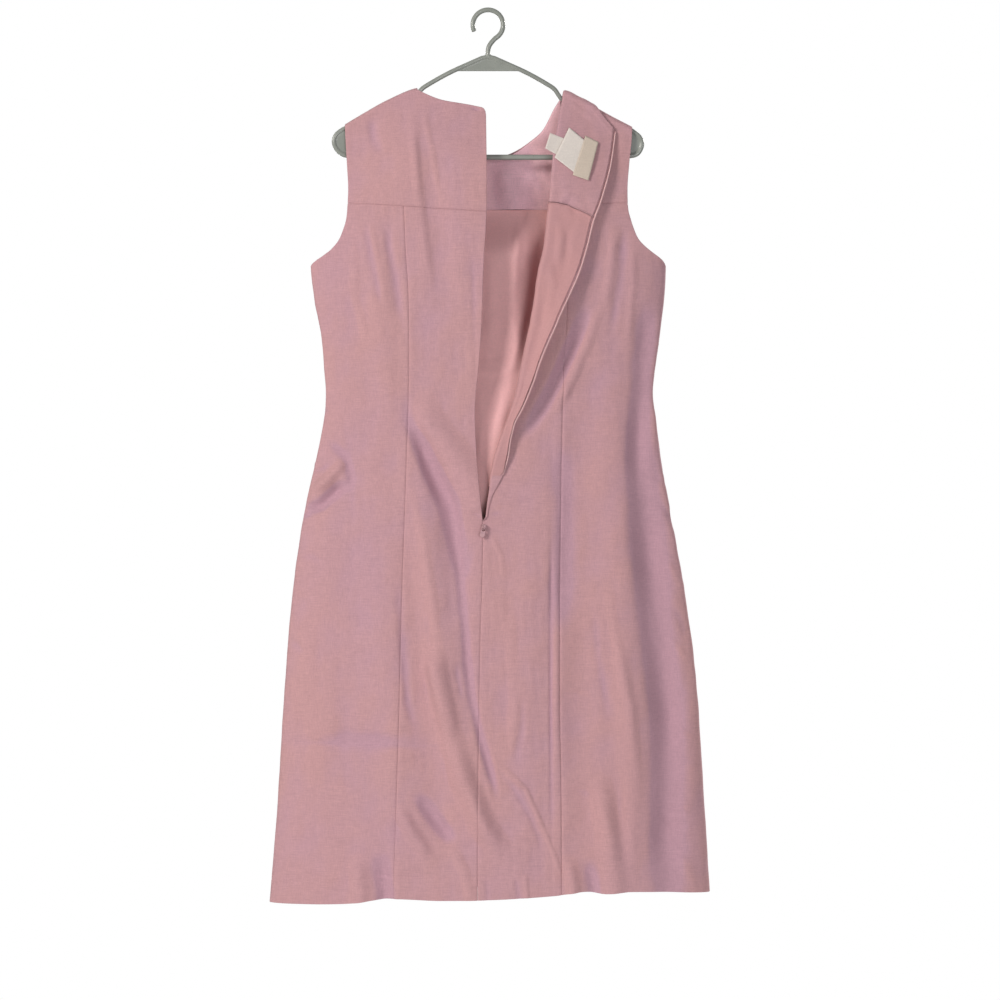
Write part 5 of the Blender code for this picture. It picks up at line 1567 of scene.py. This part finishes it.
def rim_tube(right, left):
    """The rim and the bar, which is a little thicker, as one closed loop that overlaps at the apex."""
    bar = [(x, BAR_LEVEL) for x in np.linspace(0.16, -0.16, 9)]
    rim = [(0.0, APEX_LEVEL), *right, *bar, *reversed(left)]
    loop = smoothed([(x, 0.0, level) for x, level in rim], closed=True)
    start = int(np.argmin(np.abs(loop[:, 0]) + (loop[:, 2] < -0.1) * 9))
    loop = np.roll(loop, -start, axis=0)
    fat = np.interp(-loop[:, 2], [0.180, 0.187], [1.0, 1.2])
    fat = np.where(np.abs(loop[:, 0]) < 0.162, fat, 1.0)
    return tube(np.concatenate([loop, loop[:3]]), ARM_RADIUS * np.concatenate([fat, fat[:3]]), 14)


def hook_tube():
    radius = HOOK_CROWN + HOOK_WIRE
    points = [(0.0, 0.0, APEX_LEVEL - 0.002), (0.0, 0.0, -0.0480), (0.0025, 0.0, -0.0415)]
    for angle in np.radians(np.linspace(-62, 205, 44)):
        points.append((radius * math.cos(angle), 0.0, -HOOK_CROWN + radius * math.sin(angle)))
    return tube(smoothed(points), HOOK_WIRE, 14)


def build_hanger():
    right, left = arm_points(1), arm_points(-1)
    parts = [rim_tube(right, left), hook_tube()]
    outlines = [[(0.0, APEX_LEVEL), (0.0410, -0.0765), (-0.0410, -0.0765)]]
    for sign, arm in ((1, right), (-1, left)):
        outlines.append([*arm[WEB_START:], (arm[WEB_START][0] - sign * 0.0330, BAR_LEVEL)])
    for outline in outlines:
        mesh = plate([outline], 0.0013, 0.0003)
        mesh.transform(TO_UPRIGHT)
        parts.append(mesh_part(mesh))
    piece = add_mesh("hanger_plastic_body", *gather(parts), "plastic")
    melt = piece.modifiers.new("melt", "REMESH")
    melt.mode = "VOXEL"
    melt.voxel_size = VOXEL
    melt.use_smooth_shade = True
    soften = piece.modifiers.new("soften", "SMOOTH")
    soften.factor = 0.5
    soften.iterations = 6
    mesh = bpy.data.meshes.new_from_object(piece.evaluated_get(bpy.context.evaluated_depsgraph_get()))
    piece.modifiers.clear()
    piece.data = mesh
    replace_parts(piece, "hanger")


build_hanger()


# The cut of the cloth that shows: piece, how it is held, width, length and area in metres, and what it
# lies on or hangs from

SHEETS = """
back_yoke_left_cloth hung 0.200 0.164 0.0260 hanger_plastic_body
back_yoke_right_cloth folded 0.185 0.155 0.0230 hanger_plastic_body
front_yoke_cloth hung 0.485 0.161 0.0424 hanger_plastic_body
back_centre_left_cloth hung 0.109 0.894 0.0906 back_yoke_left_cloth
back_centre_right_cloth folded 0.109 0.926 0.0876 back_yoke_right_cloth
front_centre_cloth hung 0.217 0.892 0.1848 front_yoke_cloth
back_side_left_cloth hung 0.173 0.940 0.1267 back_yoke_left_cloth
back_side_right_cloth hung 0.205 0.926 0.1420 back_yoke_right_cloth
front_side_left_cloth hung 0.172 0.933 0.1256 front_yoke_cloth
front_side_right_cloth hung 0.204 0.917 0.1390 front_yoke_cloth
front_facing_cloth hung 0.202 0.144 0.0133 front_yoke_cloth
front_lining_cloth hung 0.216 0.458 0.0988 front_facing_cloth
back_facing_right_cloth folded 0.089 0.156 0.0109 back_yoke_right_cloth
back_lining_right_cloth folded 0.069 0.378 0.0136 back_centre_right_cloth
zip_tape_right_cloth folded 0.010 0.425 0.0014 back_centre_right_cloth
zip_tape_left_cloth hung 0.010 0.536 0.0048 back_centre_left_cloth
label_size_cloth laid 0.022 0.026 0.0005 back_facing_right_cloth
label_care_cloth laid 0.036 0.048 0.0015 back_facing_right_cloth
label_brand_cloth laid 0.022 0.057 0.0011 back_facing_right_cloth
"""


def declare_sheets():
    for line in SHEETS.strip().splitlines():
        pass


declare_sheets()


# Floor, light and camera

def build_floor():
    bpy.ops.mesh.primitive_circle_add(vertices=96, radius=1.9, fill_type="NGON", location=(0, 0, -1.75))
    floor = bpy.context.object
    floor.name = "floor"
    tree = new_material("floor_pale")
    set_inputs(tree, tree.nodes["Principled BSDF"], {"Base Color": (0.82, 0.82, 0.81, 1), "Roughness": 0.9})
    floor.data.materials.append(MATERIALS["floor_pale"])


def build_world():
    """A soft even light, in front of plain white."""
    world = bpy.data.worlds.new("studio")
    bpy.context.scene.world = world
    world.use_nodes = True
    tree = world.node_tree
    tree.nodes.clear()
    light = node(tree, "ShaderNodeBackground", {"Color": (1.0, 0.985, 0.97, 1), "Strength": 0.17})
    seen = node(tree, "ShaderNodeBackground", {"Color": (1, 1, 1, 1), "Strength": 1.0})
    rays = node(tree, "ShaderNodeLightPath").outputs["Is Camera Ray"]
    both = node(tree, "ShaderNodeMixShader", {0: rays, 1: light.outputs[0], 2: seen.outputs[0]})
    node(tree, "ShaderNodeOutputWorld", {0: both.outputs[0]})


def build_lamps():
    for name, place, aim, size, power, colour in (
        ("key", (-2.55, -2.25, 0.80), (0.08, 0.0, -0.78), 0.9, 94.0, (1.0, 0.955, 0.92)),
        ("fill", (1.10, -3.30, -0.55), (0.0, 0.0, -0.68), 1.4, 41.0, (0.96, 0.955, 1.0)),
        ("far_key", (2.65, 2.15, 0.85), (0.0, 0.0, -0.66), 1.0, 98.0, (1.0, 0.96, 0.93)),
        ("far_fill", (-0.80, 3.42, 0.00), (0.0, 0.0, -0.62), 1.4, 34.0, (0.96, 0.955, 1.0)),
    ):
        lamp = bpy.data.lights.new(name, "AREA")
        lamp.size = size
        lamp.energy = power
        lamp.color = colour
        holder = bpy.data.objects.new(name, lamp)
        holder.location = place
        holder.rotation_euler = (Vector(aim) - Vector(place)).to_track_quat("-Z", "Y").to_euler()
        bpy.context.scene.collection.objects.link(holder)


def build_camera():
    """Straight at the dress's back, with 1.3 m across the picture at this distance."""
    lens = bpy.data.cameras.new("camera")
    lens.sensor_width = 36
    lens.lens = 36 * CAMERA_DISTANCE / PICTURE_WIDTH
    camera = bpy.data.objects.new("camera", lens)
    camera.location = (0.0156, -CAMERA_DISTANCE, -0.634)
    camera.rotation_euler = (math.pi / 2, 0, 0)
    bpy.context.scene.collection.objects.link(camera)
    bpy.context.scene.camera = camera
    bpy.context.scene.view_settings.view_transform = "Standard"


build_floor()
build_world()
build_lamps()
build_camera()
